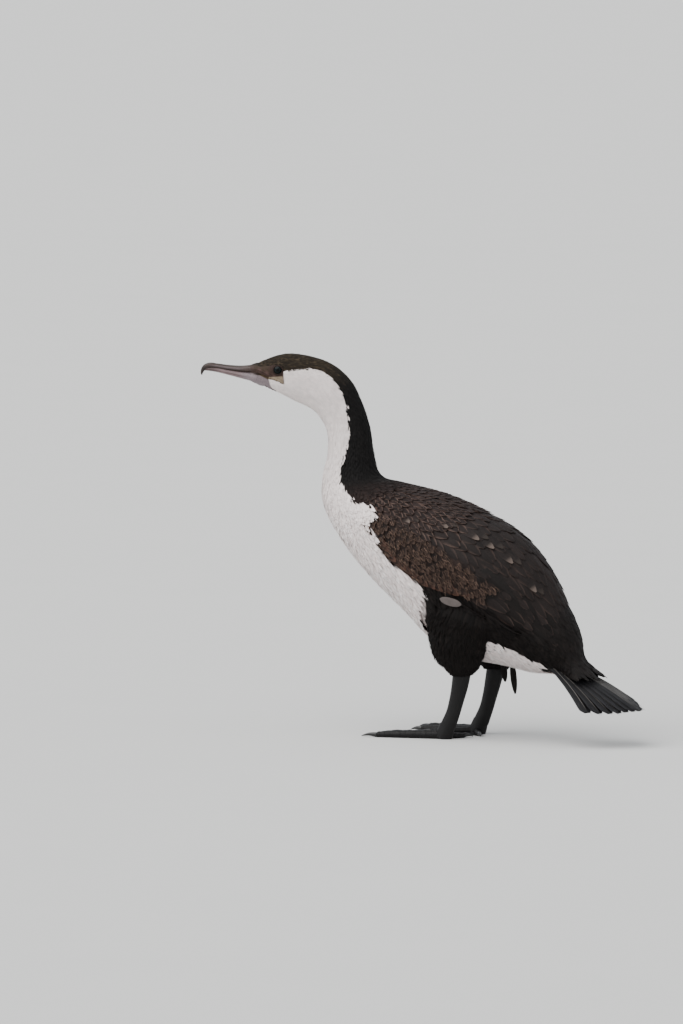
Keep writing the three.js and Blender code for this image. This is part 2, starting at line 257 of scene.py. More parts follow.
def surface_frame(surface, place, around, margin):
    """Point, unit vectors along and around, normal, and metres for each unit of place and degree."""
    step = 0.01
    turn = 0.5
    here = surface.point(place, around, margin)
    low = np.clip(place - step, 0, surface.last)
    high = np.clip(place + step, 0, surface.last)
    before, after = (surface.point(spot, around, margin) for spot in (low, high))
    along = (after - before) / (high - low)[..., None]
    above, below = (surface.point(place, around + way * turn, margin) for way in (-1, 1))
    girdle = (below - above) / (2 * turn)
    normal = unit(np.cross(girdle, along))
    out = here - surface.point(place, around, margin - 1.0)
    normal = normal * np.sign((normal * out).sum(-1, keepdims=True))
    per_place, per_degree = (np.linalg.norm(way, axis=-1) for way in (along, girdle))
    return here, unit(along), unit(girdle), normal, per_place, per_degree


def advance(surface, place, around, sway, distance):
    """Roots moved along the surface by a distance in millimetres, in the way that their tips point."""
    side = np.where(around < 0, -1.0, 1.0)
    turn = np.radians(sway)
    _, _, _, _, per_place, per_degree = surface_frame(surface, place, around, 0.0)
    ahead = place + distance * MM * np.cos(turn) / per_place
    turned_down = around + distance * MM * np.sin(turn) * side / per_degree
    return np.clip(ahead, 0, surface.last - FORM_MARGIN), turned_down


# Length along the bird's side, which the skin's map is laid out by
PLACE_SAMPLES = np.linspace(0, FORM_END, 400)
SIDE_LINE = form(PLACE_SAMPLES, 90 + 0 * PLACE_SAMPLES)
SPINE = np.cumsum(np.r_[0, np.linalg.norm(np.diff(SIDE_LINE, axis=0), axis=1)])
# Parts of the map from 0 to 1: a feather's patch, and the edge and span of the skin and of a tube
MAP_PATCH = 0.003
SKIN_MAP_EDGE, SKIN_MAP_SPAN = 0.02, 0.96
TUBE_MAP_EDGE, TUBE_MAP_SPAN = 0.05, 0.9


def map_place(place, around):
    """Where a root lies on the unwrap of the skin: length along the body and degrees round it."""
    u = np.interp(place, PLACE_SAMPLES, SPINE) / SPINE[-1]
    return SKIN_MAP_EDGE + SKIN_MAP_SPAN * u, SKIN_MAP_EDGE + SKIN_MAP_SPAN * ((around + 180) % 360) / 360


def tube_map(place, last, around):
    """Unwrap of a tube: place along it, counted up to last, and degrees round it."""
    u = TUBE_MAP_EDGE + TUBE_MAP_SPAN * place / last
    v = TUBE_MAP_EDGE + TUBE_MAP_SPAN * (around + 180) / 360
    return np.stack([u, v], -1)


# Meshes

SHARP_ANGLE = math.radians(50)


def new_piece(name, points, faces, material, tint, maps):
    """A smooth object from points, faces, a colour for each point, and named maps."""
    mesh = bpy.data.meshes.new(name)
    points = np.asarray(points, np.float32).reshape(-1, 3)
    faces = np.asarray(faces, np.int32)
    mesh.vertices.add(len(points))
    mesh.vertices.foreach_set("co", points.ravel())
    mesh.loops.add(faces.size)
    mesh.loops.foreach_set("vertex_index", faces.ravel())
    mesh.polygons.add(len(faces))
    mesh.polygons.foreach_set("loop_start", np.arange(0, faces.size, faces.shape[1], dtype=np.int32))
    mesh.polygons.foreach_set("use_smooth", np.ones(len(faces), bool))
    mesh.update(calc_edges=True)
    for map_name, uv in maps.items():
        layer = mesh.uv_layers.new(name=map_name)
        layer.data.foreach_set("uv", np.asarray(uv, np.float32).reshape(-1, 2)[faces.ravel()].ravel())
    mesh.color_attributes.new("Tint", "FLOAT_COLOR", "POINT")
    paint(mesh, np.asarray(tint).reshape(-1, 3))
    mesh.validate()
    obj = bpy.data.objects.new(name, mesh)
    bpy.context.scene.collection.objects.link(obj)
    mesh.materials.append(material)
    mesh.set_sharp_from_angle(angle=SHARP_ANGLE)
    return obj


def paint(mesh, tints):
    """Fills the mesh's Tint with a colour for each point."""
    rgba = np.ones((len(tints), 4), np.float32)
    rgba[:, :3] = tints
    mesh.color_attributes["Tint"].data.foreach_set("color", rgba.ravel())


def finish_piece(obj, replaced=()):
    """Tells the frame what the piece rides on and the nodes that it stands for."""
    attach(obj, "root")
    if replaced:
        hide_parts(*replaced)
    return obj


# Cross-sections of a vane, as shares of its half width and of its thickness, round a closed loop
FINE_SECTION = np.array([(-1.0, 0.0), (0.0, 1.0), (1.0, 0.0)])
BROAD_SECTION = np.array([(-1.0, 0.0), (-0.5, 0.75), (0.0, 1.0), (0.5, 0.75), (1.0, 0.0), (0.0, -0.4)])
HAIR_SECTION = np.array([(-1.0, -0.5), (0.0, 1.0), (1.0, -0.5)])


def vane_widths(shares):
    """Half width of a body feather along its length, as a share, round at the tip."""
    return np.clip(np.sin(np.pi * np.clip(shares, 0.04, 0.985) ** 0.62) ** 0.5, 0.02, 1)


# Faces with less area than this, in square metres, are left out of a feather
LEAST_AREA = 1e-13


class Vanes:
    """Gathers feathers of one kind laid over the body's form, and joins them in one mesh."""

    def __init__(self):
        self.points = []
        self.faces = []
        self.tints = []
        self.vane_uv = []
        self.bake_uv = []
        self.count = 0

    def add(self, rings, tint, uv, root_uv):
        """rings is feathers x rings x section x 3; tint and uv match it; root_uv is two arrays."""
        section_count = rings.shape[2]
        index = np.arange(rings[..., 0].size).reshape(rings.shape[:3]) + self.count
        after = np.roll(index, -1, axis=2)
        quads = np.stack([index[:, :-1], after[:, :-1], after[:, 1:], index[:, 1:]], -1).reshape(-1, 4)
        first = quads[:, [0, 1, 2]]
        second = quads[:, [0, 2, 3]]
        caps = []
        for k in range(1, section_count - 1):
            caps.append(np.stack([index[:, 0, 0], index[:, 0, k + 1], index[:, 0, k]], -1))
            caps.append(np.stack([index[:, -1, 0], index[:, -1, k], index[:, -1, k + 1]], -1))
        self.faces.append(np.concatenate([first, second] + caps))
        self.points.append(rings.reshape(-1, 3))
        self.tints.append(np.clip(tint, 0, 1).reshape(-1, 3))
        self.vane_uv.append(uv.reshape(-1, 2))
        u, v = root_uv
        patch = np.stack([
            u[:, None, None] + (uv[..., 1] - 0.5) * MAP_PATCH,
            v[:, None, None] + (uv[..., 0] - 0.5) * MAP_PATCH,
        ], -1)
        self.bake_uv.append(patch.reshape(-1, 2))
        self.count += index.size

    def add_one(self, ring, tint, uv, root_uv):
        """Adds a single feather, its root_uv given as two numbers."""
        self.add(ring[None], tint[None], uv[None], np.array(root_uv)[:, None])

    def piece(self, name, material, slot, replaced=()):
        points = np.concatenate(self.points)
        faces = np.concatenate(self.faces)
        a, b, c = (points[faces[:, k]] for k in range(3))
        area = np.linalg.norm(np.cross(b - a, c - a), axis=1)
        maps = {"OFBake": np.concatenate(self.bake_uv), "Vane": np.concatenate(self.vane_uv)}
        tints = np.concatenate(self.tints)
        obj = new_piece(name, points, faces[area > LEAST_AREA], material, tints, maps)
        return finish_piece(obj, replaced)


def lay(vanes, surface, place, around, sway, length, width, depths, tint, section=FINE_SECTION, ring_count=5,
        thick=0.35, widths=None, edge=None, tip=None, cup=0.12):
    """Lays feathers over the form, each following the surface from its root.

    place and around are the roots; sway is degrees that a feather's tip turns down from the body's
    length; length and width are in millimetres; depths is the margin at the root and at the tip;
    tint, edge and tip are colours for the vane, its edges and its tip."""
    many = len(place)
    side = np.sign(around)
    side[side == 0] = 1
    shares = np.linspace(0, 1, ring_count)
    outline = vane_widths(shares) if widths is None else widths(shares)
    p = place.copy()
    g = around.copy()
    rings = np.zeros((many, ring_count, len(section), 3))
    length, width, root_depth, tip_depth, sway = (
        np.broadcast_to(value, (many,)) for value in (length, width, *depths, sway))
    cosine = np.cos(np.radians(sway))
    sine = np.sin(np.radians(sway)) * side
    for k, share in enumerate(shares):
        margin = mix(root_depth, tip_depth, share ** 0.8)
        at, along, girdle, normal, per_place, per_degree = surface_frame(surface, p, g, margin)
        forward = unit(along * cosine[:, None] + girdle * sine[:, None])
        across = np.cross(normal, forward)
        half_width = (width * 0.5 * outline[k])[:, None, None]
        aside = half_width * section[None, :, 0:1]
        sag = -cup * np.abs(section[None, :, 0:1]) ** 2 * half_width
        rise = thick * section[None, :, 1:2] * max(0.25, 1 - 0.6 * share)
        rings[:, k] = at[:, None] + MM * (across[:, None] * aside + normal[:, None] * (rise + sag))
        if k + 1 < ring_count:
            step = length * MM / (ring_count - 1)
            p = np.minimum(p + step * cosine / per_place, surface.last - FORM_MARGIN)
            g = g + step * sine / per_degree
    t = np.broadcast_to(section[None, None, :, 0], rings.shape[:3])
    s = np.broadcast_to(shares[None, :, None], rings.shape[:3])
    uv = np.stack([0.5 + 0.5 * t, s], -1)
    colour = np.broadcast_to(tint[:, None, None, :], rings.shape).copy()
    if edge is not None:
        colour = blend(colour, edge[:, None, None, :], smooth(0.55, 1.0, np.abs(t)) * smooth(0.3, 0.8, s))
    if tip is not None:
        colour = blend(colour, tip[:, None, None, :], smooth(0.72, 0.97, s))
    vanes.add(rings, colour, uv, surface.root_uv(place, around))


# How far a root strays from its even place, as a share of the spacing
JITTER = 0.3


def roots(rng, surface, low, high, spacing, keep, row_spacing=None):
    """Staggered roots over a surface between two places, thinned to where keep(place, girth) holds."""
    row_spacing = row_spacing or spacing * 0.86
    step = 0.05
    places, arounds = [], []
    place = low
    row = 0
    while place < high:
        at = surface.point(np.array([place, place + step]), np.array([60.0, 60.0]))
        per_place = np.linalg.norm(at[1] - at[0]) / step / MM
        ring = surface.point(np.full(73, place), np.linspace(-180, 180, 73))
        length = np.linalg.norm(np.diff(ring, axis=0), axis=1).sum() / MM
        count = max(6, int(round(length / spacing)))
        degrees = -180 + 360 * (np.arange(count) + 0.5 * (row % 2) + 0.25) / count
        places.append(place + JITTER * row_spacing / per_place * rng.uniform(-1, 1, count))
        arounds.append(degrees + JITTER * 360 / count * rng.uniform(-1, 1, count))
        place += row_spacing / per_place
        row += 1
    place = np.clip(np.concatenate(places), 0.05, surface.last - 0.1)
    around = (np.concatenate(arounds) + 180) % 360 - 180
    inside = keep(place, np.abs(around))
    return place[inside], around[inside]


# Materials

class Nodes:
    """Short way to build one node material."""

    def __init__(self, name):
        self.material = bpy.data.materials.new(name)
        self.material.use_nodes = True
        self.tree = self.material.node_tree
        self.shader = self.tree.nodes["Principled BSDF"]

    def node(self, kind, **settings):
        made = self.tree.nodes.new(kind)
        for key, value in settings.items():
            setattr(made, key, value)
        return made

    def link(self, start, end):
        self.tree.links.new(start, end)

    def math(self, operation, first, second=0.5):
        made = self.node("ShaderNodeMath", operation=operation)
        for socket, value in zip(made.inputs, (first, second)):
            if isinstance(value, (int, float)):
                socket.default_value = value
            else:
                self.link(value, socket)
        return made.outputs[0]

    def mixed(self, share, first, second, blend="MIX"):
        made = self.node("ShaderNodeMix", data_type="RGBA", blend_type=blend)
        for socket, value in zip((made.inputs[0], made.inputs[6], made.inputs[7]), (share, first, second)):
            if isinstance(value, (int, float)):
                socket.default_value = value
            elif isinstance(value, tuple):
                socket.default_value = (*value, 1.0)
            else:
                self.link(value, socket)
        return made.outputs[2]

    def spread(self, value, size, least):
        """size x value + least, with the sum's constant on its own socket."""
        made = self.math("MULTIPLY_ADD", value, size)
        made.node.inputs[2].default_value = least
        return made

    def noise(self, scale, detail=3.0):
        coordinates = self.node("ShaderNodeTexCoord")
        made = self.node("ShaderNodeTexNoise")
        made.inputs["Scale"].default_value = scale
        made.inputs["Detail"].default_value = detail
        made.inputs["Roughness"].default_value = 0.55
        self.link(coordinates.outputs["Object"], made.inputs["Vector"])
        return made.outputs["Fac"]

    def cells(self, scale):
        coordinates = self.node("ShaderNodeTexCoord")
        made = self.node("ShaderNodeTexVoronoi", feature="DISTANCE_TO_EDGE")
        made.inputs["Scale"].default_value = scale
        self.link(coordinates.outputs["Object"], made.inputs["Vector"])
        return made.outputs["Distance"]

    def tinted(self, pattern):
        """The mesh's own tint times a pattern, as the base colour."""
        tint = self.node("ShaderNodeAttribute", attribute_name="Tint").outputs["Color"]
        self.link(self.mixed(1.0, tint, pattern, "MULTIPLY"), self.shader.inputs["Base Color"])

    def bump(self, height, strength, distance):
        made = self.node("ShaderNodeBump")
        made.inputs["Strength"].default_value = strength
        made.inputs["Distance"].default_value = distance
        self.link(height, made.inputs["Height"])
        self.link(made.outputs["Normal"], self.shader.inputs["Normal"])

    def set(self, **values):
        for key, value in values.items():
            self.shader.inputs[key.replace("_", " ")].default_value = value


def plumage(name, roughness, barbs, depth, shade, sheen=0.0):
    """Feather vane: its tint, darkened between slanting barbs that run out from the shaft."""
    made = Nodes(name)
    uv = made.node("ShaderNodeUVMap", uv_map="Vane").outputs["UV"]
    split = made.node("ShaderNodeSeparateXYZ")
    made.link(uv, split.inputs[0])
    aside = made.math("ABSOLUTE", made.math("SUBTRACT", split.outputs["X"], 0.5))
    slant = made.math("SUBTRACT", split.outputs["Y"], made.math("MULTIPLY", aside, 0.7))
    wander = made.math("MULTIPLY", made.noise(700.0, 1.0), 0.06)
    wave = made.math("SINE", made.math("MULTIPLY", made.math("ADD", slant, wander), barbs))
    ridge = made.math("MULTIPLY_ADD", wave, 0.5)
    darker = made.spread(ridge, shade, 1.0 - shade)
    patchy = made.spread(made.noise(160.0), 0.5, 0.75)
    made.tinted(made.mixed(1.0, darker, patchy, "MULTIPLY"))
    made.bump(ridge, 0.5, depth)
    made.set(Roughness=roughness, Sheen_Weight=sheen, Sheen_Roughness=0.5, Specular_IOR_Level=0.14)
    return made.material


def skin_material(name, roughness, scale, strength, coat=0.0, shine=0.5):
    """Bare skin or horn: its tint, mottled a little, with fine pits."""
    made = Nodes(name)
    made.tinted(made.spread(made.noise(scale * 0.25, 4.0), 0.7, 0.65))
    made.bump(made.noise(scale, 5.0), strength, 0.0004)
    made.set(Roughness=roughness, Coat_Weight=coat, Coat_Roughness=0.35, Specular_IOR_Level=shine)
    return made.material


def scaled_material(name, roughness):
    """Leg skin: small scales with dark seams between them."""
    made = Nodes(name)
    cell = made.cells(520.0)
    seam = made.math("MULTIPLY", cell, 6.0)
    seam.node.use_clamp = True
    made.tinted(made.mixed(seam, (0.75, 0.75, 0.75), (1.0, 1.0, 1.0)))
    made.bump(seam, 0.35, 0.0003)
    made.set(Roughness=roughness, Specular_IOR_Level=0.22)
    return made.material


def eye_material(name):
    """Wet eye: its tint with faint streaks under a smooth shine."""
    made = Nodes(name)
    made.tinted(made.spread(made.noise(900.0, 3.0), 0.8, 0.6))
    made.set(Roughness=0.10, Specular_IOR_Level=0.10)
    return made.material


def floor_material(name, colour):
    """Matt floor with a very faint grain."""
    made = Nodes(name)
    grain = made.mixed(made.noise(6.0), tuple(0.97 * c for c in colour), colour)
    made.link(grain, made.shader.inputs["Base Color"])
    made.set(Roughness=0.9)
    return made.material


# Each finish: its maker and the maker's values, in their order
FINISHES = {
    "soft_white": (plumage, 0.8, 70.0, 0.0002, 0.12, 0.1),
    "cap_brown": (plumage, 0.7, 40.0, 0.0002, 0.3),
    "back_brown": (plumage, 0.62, 90.0, 0.00025, 0.35),
    "thigh_black": (plumage, 0.75, 50.0, 0.0002, 0.4),
    "tail_black": (plumage, 0.5, 260.0, 0.0002, 0.35),
    "face_skin": (skin_material, 0.6, 1400.0, 0.35, 0.0, 0.15),
    "bill_horn": (skin_material, 0.42, 900.0, 0.2, 0.06, 0.3),
    "leg_skin": (scaled_material, 0.5),
    "claw_horn": (skin_material, 0.35, 700.0, 0.15, 0.2),
    "wet_eye": (eye_material,),
}
made_finishes = {}


def finish_of(name):
    """Each finish is made once, the first time that a piece asks for it."""
    if name not in made_finishes:
        maker, *values = FINISHES[name]
        made_finishes[name] = maker(name, *values)
    return made_finishes[name]


# Settings that a user would change

def colour_property(label, about, value):
    """A colour that a user can change, with its default."""
    return bpy.props.FloatVectorProperty(name=label, description=about, subtype="COLOR", size=3,
                                         min=0.0, max=1.0, default=value)


class CORMORANT_PG_plumage(bpy.types.PropertyGroup):
    white: colour_property("White", "Colour of the throat, breast and belly", (0.88, 0.79, 0.765))
    cap: colour_property("Cap", "Colour of the crown", (0.0124, 0.0093, 0.0068))
    cap_fleck: colour_property("Cap flecks", "Olive flecks on the crown", (0.048, 0.035, 0.022))
    hindneck: colour_property("Hindneck", "Colour of the back of the neck", (0.005, 0.0043, 0.0042))
    mantle: colour_property("Mantle", "Colour of the upper back", (0.0165, 0.0098, 0.0086))
    mantle_edge: colour_property("Mantle edge", "Worn rim of the back's feathers", (0.145, 0.093, 0.075))
    scapular: colour_property("Scapulars", "Colour of the long shoulder feathers", (0.0125, 0.0088, 0.008))
    spot: colour_property("Spots", "Pale tips of some shoulder feathers", (0.17, 0.13, 0.11))
    covert_rim: colour_property("Covert rim", "Reddish edge of the lowest coverts", (0.07, 0.034, 0.024))
    covert: colour_property("Coverts", "Colour of the small wing feathers", (0.0112, 0.0061, 0.0048))
    covert_tip: colour_property("Covert tips", "Frayed tips of the small wing feathers", (0.19, 0.123, 0.093))
    patch: colour_property("Flank patch", "Colour of the pale oval above the thigh", (0.105, 0.088, 0.083))
    flight: colour_property("Flight feathers", "Colour of the wing's long feathers", (0.0075, 0.0054, 0.0048))
    black: colour_property("Thighs", "Colour of thighs and flanks", (0.0052, 0.0036, 0.0031))
    tail: colour_property("Tail", "Colour of the tail feathers", (0.008, 0.0077, 0.0087))
    shaft: colour_property("Shafts", "Colour of the tail feathers' shafts", (0.24, 0.22, 0.2))


class CORMORANT_PG_bare(bpy.types.PropertyGroup):
    face: colour_property("Face", "Bare skin before and round the eye", (0.03, 0.0165, 0.0125))
    lore: colour_property("Lores", "Olive skin between bill and eye", (0.04, 0.027, 0.017))
    fold: colour_property("Folds", "Pinkish folds under the eye", (0.08, 0.045, 0.04))
    gape: colour_property("Gape", "Pale skin under the eye", (0.25, 0.195, 0.14))
    pouch: colour_property("Pouch", "Skin between the lower bill's sides", (0.21, 0.17, 0.182))
    bill: colour_property("Bill", "Horn of the upper bill", (0.052, 0.034, 0.029))
    ridge: colour_property("Bill ridge", "Dark ridge and nail of the bill", (0.02, 0.015, 0.013))
    leg: colour_property("Legs", "Skin of legs and webs", (0.0036, 0.0031, 0.0032))
    iris: colour_property("Iris", "Colour of the iris", (0.0035, 0.007, 0.007))


class CORMORANT_PG_stage(bpy.types.PropertyGroup):
    turn: bpy.props.FloatProperty(
        name="View turn", description="How far round towards the tail the camera stands", subtype="ANGLE",
        default=math.radians(30))
    rise: bpy.props.FloatProperty(
        name="View rise", description="How far above the level the camera looks from", subtype="ANGLE",
        default=math.radians(5))
    distance: bpy.props.FloatProperty(
        name="Distance", description="How far away the camera stands", unit="LENGTH", default=10.0)
    view_height: bpy.props.FloatProperty(
        name="View height", description="Height of the picture at the bird", unit="LENGTH", default=1.0035)
    sky: bpy.props.FloatProperty(
        name="Sky light", description="Strength of the even light all round", default=0.95)
    floor_colour: colour_property("Floor", "Colour of the floor", (0.6, 0.6, 0.59))


def rgb(value):
    """A colour setting as an array."""
    return np.array(value[:], float)


def filled(colour, like):
    """The same colour at each point of a grid."""
    return np.broadcast_to(colour, (*np.shape(like), 3))


def shades(rng, colour, many, spread):
    """One colour for each feather, a little lighter or darker than the next."""
    return rgb(colour) * np.exp(rng.normal(0, spread, (many, 1)))


# Skin

def side_view(place, around):
    """x and z of the form's points before the head is turned, in millimetres."""
    row = catmull(STATIONS, np.clip(place, 0, LAST_STATION))
    lean = np.radians(row[..., 4])
    rise = row[..., 2] * np.cos(np.radians(around))
    return row[..., 0] + rise * np.sin(lean), row[..., 1] + rise * np.cos(lean)


def depth_inside(outline, x, z):
    """How far points lie inside a closed outline, in millimetres, minus outside it."""
    nearest = np.full(np.shape(x), 1e9)
    crossings = np.zeros(np.shape(x), int)
    for (ax, az), (bx, bz) in zip(outline, np.roll(outline, -1, axis=0)):
        ex, ez = bx - ax, bz - az
        share = np.clip(((x - ax) * ex + (z - az) * ez) / (ex * ex + ez * ez), 0, 1)
        nearest = np.minimum(nearest, np.hypot(x - ax - share * ex, z - az - share * ez))
        spans = (az > z) != (bz > z)
        crossings += spans & (x < ax + (z - az) * ex / np.where(ez == 0, 1e-9, ez))
    return np.where(crossings % 2 == 1, nearest, -nearest)


def bare_share(x, z):
    """1 on the bare face, 0 under feathers."""
    return smooth(-0.5, 0.5, depth_inside(FACE_OUTLINE, x, z))


# How deep the skin lies under the plumage: place along the stations, millimetres
COAT = np.array([(0, 0.4), (1.5, 0.9), (4, 1.6), (8.5, 3.0), (10, 4.6), (16, 4.4), (18, 2.5)])


def coat_depth(place):
    """Millimetres from the plumage's outline down to the skin."""
    return edge_at(COAT, place)


def eye_distance(x, z):
    """Millimetres from the eye's middle, on the side view."""
    return np.hypot(x - EYE_X, (z - EYE_Z) * 1.06)


def over_gape(x, z):
    """Millimetres above the line between the two halves of the bill."""
    return z - edge_at(MOUTH_LINE, x)


# Where the gape's line fades out at its corner, and the colour of the painted shade along its shut line
GAPE_CORNER = (-187.5, -185.5)
GAPE_SHADE = np.array([0.30, 0.27, 0.15])


def face_relief(x, z):
    """Lids, folds and the line of the gape, in millimetres out of the bare face."""
    away = eye_distance(x, z)
    lid = 0.55 * bump(away, 5.0, 0.55) + 0.3 * bump(away, 6.7, 0.5)
    hollow = -2.6 * (1 - smooth(3.4, 4.7, away))
    over_mouth = over_gape(x, z)
    fade = 1 - smooth(*GAPE_CORNER, x)
    groove = -0.8 * bump(over_mouth, 0.0, 0.55) * fade
    lip = 0.45 * bump(over_mouth, -1.4, 0.8) * fade
    folds = 0.25 * np.sin(over_mouth * 2.3 + 0.25 * x) * bump(over_mouth, 4.0, 2.6) * smooth(6.0, 7.5, away)
    bristle = 0.12 * np.sin(x * 3.9 + np.sin(z * 2.1)) * np.sin(z * 4.3 + x * 0.8) * smooth(5.5, 8.0, away)
    creases = 0.15 * np.sin(x * 2.2 + z * 0.5) * smooth(1.0, 3.0, -over_mouth)
    return lid + hollow + groove + lip + folds + bristle * smooth(0, 1.5, over_mouth) + creases


def dark_share(place, girth):
    """1 on the dark plumage of crown, hindneck, back and flanks, 0 on the white."""
    ragged = 1.8 * np.sin(place * 17.0) + 0.8 * np.sin(place * 41.0 + 1.0)
    dark = 1 - smooth(-1.5, 1.5, girth - edge_at(DARK_EDGE, place) - ragged * (place > 2))
    along_vent = smooth(15.3, 15.6, place - (120 - girth) * 0.02) * (1 - smooth(17.25, 17.5, place))
    return np.clip(dark - along_vent * smooth(112, 118, girth), 0, 1)


def face_tint(bare, x, z):
    """Colours of the bare face, by the side view, with painted shade along the gape's line and a painted
    shadow along the underside.
    """
    away = eye_distance(x, z)
    over_mouth = over_gape(x, z)
    mottle = 0.5 + 0.5 * np.sin(x * 2.7 + 2 * np.sin(z * 1.9)) * np.sin(z * 3.1 + np.sin(x * 1.3))
    tint = filled(rgb(bare.face), x) * (0.75 + 0.6 * mottle)[..., None]
    tint = blend(tint, rgb(bare.lore), smooth(3.0, 6.5, over_mouth) * smooth(7.0, 13.0, away) * 0.75)
    fold = bump(over_mouth, 5.0, 1.7) * smooth(5.5, 6.5, away) * (0.5 + 0.5 * np.sin(x * 0.8))
    tint = blend(tint, rgb(bare.fold), 0.7 * fold)
    gape = smooth(-0.3, 0.7, depth_inside(GAPE_OUTLINE, x, z))
    tint = blend(tint, rgb(bare.gape) * (0.8 + 0.3 * mottle)[..., None], 0.9 * gape)
    pouch = smooth(-0.4, 0.5, depth_inside(POUCH_OUTLINE, x, z))
    tint = blend(tint, rgb(bare.pouch) * (0.9 + 0.15 * mottle)[..., None], pouch)
    # Painted shade: the gape's line, in the groove between the bill's halves, is painted dark, near black at
    # the front and a darkened gape colour behind
    line = bump(over_mouth, 0.0, 0.6) * (1 - smooth(*GAPE_CORNER, x))
    shut_line_shade = blend(rgb(bare.ridge) * 0.4, rgb(bare.gape) * GAPE_SHADE, smooth(-213, -205, x))
    tint = blend(tint, shut_line_shade, 0.9 * line)
    # Painted shadow: the bare skin far under the mouth line, along the head's underside, is painted darker
    underside_shadow = smooth(-9.0, -11.5, over_mouth)
    tint = blend(tint, rgb(bare.face) * 0.8, 0.8 * underside_shadow)
    return blend(tint, rgb(bare.ridge) * 0.35, 1 - smooth(4.7, 5.9, away))


def body_tint(settings, place, around):
    """Colour of skin under the coat and of the bare face."""
    colours = settings["plumage"]
    black = blend(rgb(colours.cap), rgb(colours.black), smooth(3, 6, place))
    coat = blend(rgb(colours.white) * 0.9, black, dark_share(place, np.abs(around)))
    x, z = side_view(place, around)
    return blend(coat, face_tint(settings["bare"], x, z), bare_share(x, z) * (place < 3))


# The left leg's stations: centre x, y outwards, z, half height and half width, in millimetres
THIGH = [
    (30, 34, 134, 40, 22), (23, 34, 110, 36, 21), (20, 32, 90, 30, 18), (21, 30, 75, 22, 13),
    (21, 28.5, 64, 11, 8),
]
SHIN = [
    (21, 28.5, 72, 10, 7), (21, 28.5, 64.6, 9.4, 6.8), (18.6, 28, 52, 8.6, 6), (15, 28, 38, 7.6, 5.2),
    (11, 28, 25, 7.3, 5.1), (5.5, 28, 12.4, 8, 6),
]
KNUCKLE = [(5.3, 28, 13.5, 7.8, 5.9), (2.5, 28, 6, 8.6, 7), (0.5, 28, 1, 8.6, 7.4)]
LEG_OUT = 28.0
# How deep the thigh's skin lies under its feathers
THIGH_COAT = 3.0
# The right leg stands this much further back
LEG_BACK = {"left": 0.0, "right": 6.0}
SIDES = {"left": -1.0, "right": 1.0}


def on_side(rows, name):
    """A leg's stations on its own side."""
    return [(row[0] + LEG_BACK[name], SIDES[name] * row[1], *row[2:]) for row in rows]


def thigh_form(name):
    """Form of one thigh's plumage."""
    return LimbForm(on_side(THIGH, name), (0.02, 0.02 if name == "left" else 0.5), 0.4)


def grid_mesh(points):
    """Faces of a closed tube from rings of points, with a fan's centre added at either end."""
    rings, sides = points.shape[:2]
    index = np.arange(rings * sides).reshape(rings, sides)
    after = np.roll(index, -1, axis=1)
    quads = np.stack([index[:-1], after[:-1], after[1:], index[1:]], -1).reshape(-1, 4)
    faces = np.concatenate([quads[:, [0, 1, 2]], quads[:, [0, 2, 3]]])
    first, last = rings * sides, rings * sides + 1
    faces = np.concatenate([
        faces,
        np.stack([np.full(sides, first), after[0], index[0]], -1),
        np.stack([np.full(sides, last), index[-1], after[-1]], -1),
    ])
    vertices = ring_values(points)
    return vertices, outward(vertices, faces)


def outward(points, faces):
    """The faces of a closed mesh, turned over if they look inwards."""
    corners = points[faces]
    volume = 0.0
    for k in range(1, faces.shape[1] - 1):
        volume += (corners[:, 0] * np.cross(corners[:, k], corners[:, k + 1])).sum()
    return faces if volume > 0 else faces[:, ::-1]


def ring_values(values):
    """Values on a tube's rings, followed by those of its two end centres."""
    flat = values.reshape(-1, values.shape[-1])
    return np.concatenate([flat, values[0].mean(0)[None], values[-1].mean(0)[None]])


def tube_piece(name, points, material, tint, uv):
    """A closed tube from rings of points, with a colour and a map place for each."""
    vertices, faces = grid_mesh(points)
    return new_piece(name, vertices, faces, material, ring_values(tint), {"OFBake": ring_values(uv)})


def surface_grid(places, sides):
    """Places and degrees of a tube's points, ring by ring."""
    around = np.linspace(-180, 180, sides, endpoint=False) + 180.0 / sides
    return np.meshgrid(places, around, indexing="ij")


def join_solid(obj, other):
    """Adds another closed mesh to the object's own, and removes it."""
    modifier = obj.modifiers.new("join", "BOOLEAN")
    modifier.operation = "UNION"
    modifier.object = other
    modifier.solver = "EXACT"
    bpy.context.view_layer.update()
    evaluated = obj.evaluated_get(bpy.context.evaluated_depsgraph_get())
    mesh = bpy.data.meshes.new_from_object(evaluated)
    obj.modifiers.clear()
    obj.data = mesh
    bpy.data.objects.remove(other)


# Where the face's skin runs out over the bill, from its thin front to the head's first station
SLEEVE_START, SLEEVE_END = -223.0, -211.5


def bill_reach(x, angle):
    """Distance from the bill's middle line to its outside, at degrees from straight up."""
    best = np.full(np.broadcast(x, angle).shape, 3.0)
    sine, cosine = np.sin(np.radians(angle)), np.cos(np.radians(angle))
    middle = edge_at(MOUTH_LINE, x)
    for rows in (BILL_UPPER, BILL_LOWER):
        table = np.array(rows[:6])[::-1]
        z, high, wide = (np.interp(x, table[:, 0], table[:, k]) for k in (1, 2, 3))
        a = (sine / wide) ** 2 + (cosine / high) ** 2
        b = 2 * (middle - z) * cosine / high ** 2
        c = ((middle - z) / high) ** 2 - 1
        under_root = b * b - 4 * a * c
        reach = (-b + np.sqrt(np.maximum(under_root, 0))) / (2 * a)
        best = np.maximum(best, np.where(under_root > 0, reach, 0))
    return best


def repaint(mesh, points, tints):
    """Gives each point of the mesh the tint of the nearest known point."""
    tree = KDTree(len(points))
    for i, point in enumerate(points):
        tree.insert(point, i)
    tree.balance()
    paint(mesh, tints[[tree.find(vertex.co)[1] for vertex in mesh.vertices]])


SKIN_SIDES = 200
# The head's underside is drawn in where the pouch hangs from it
CHIN_DRAW = 1.5


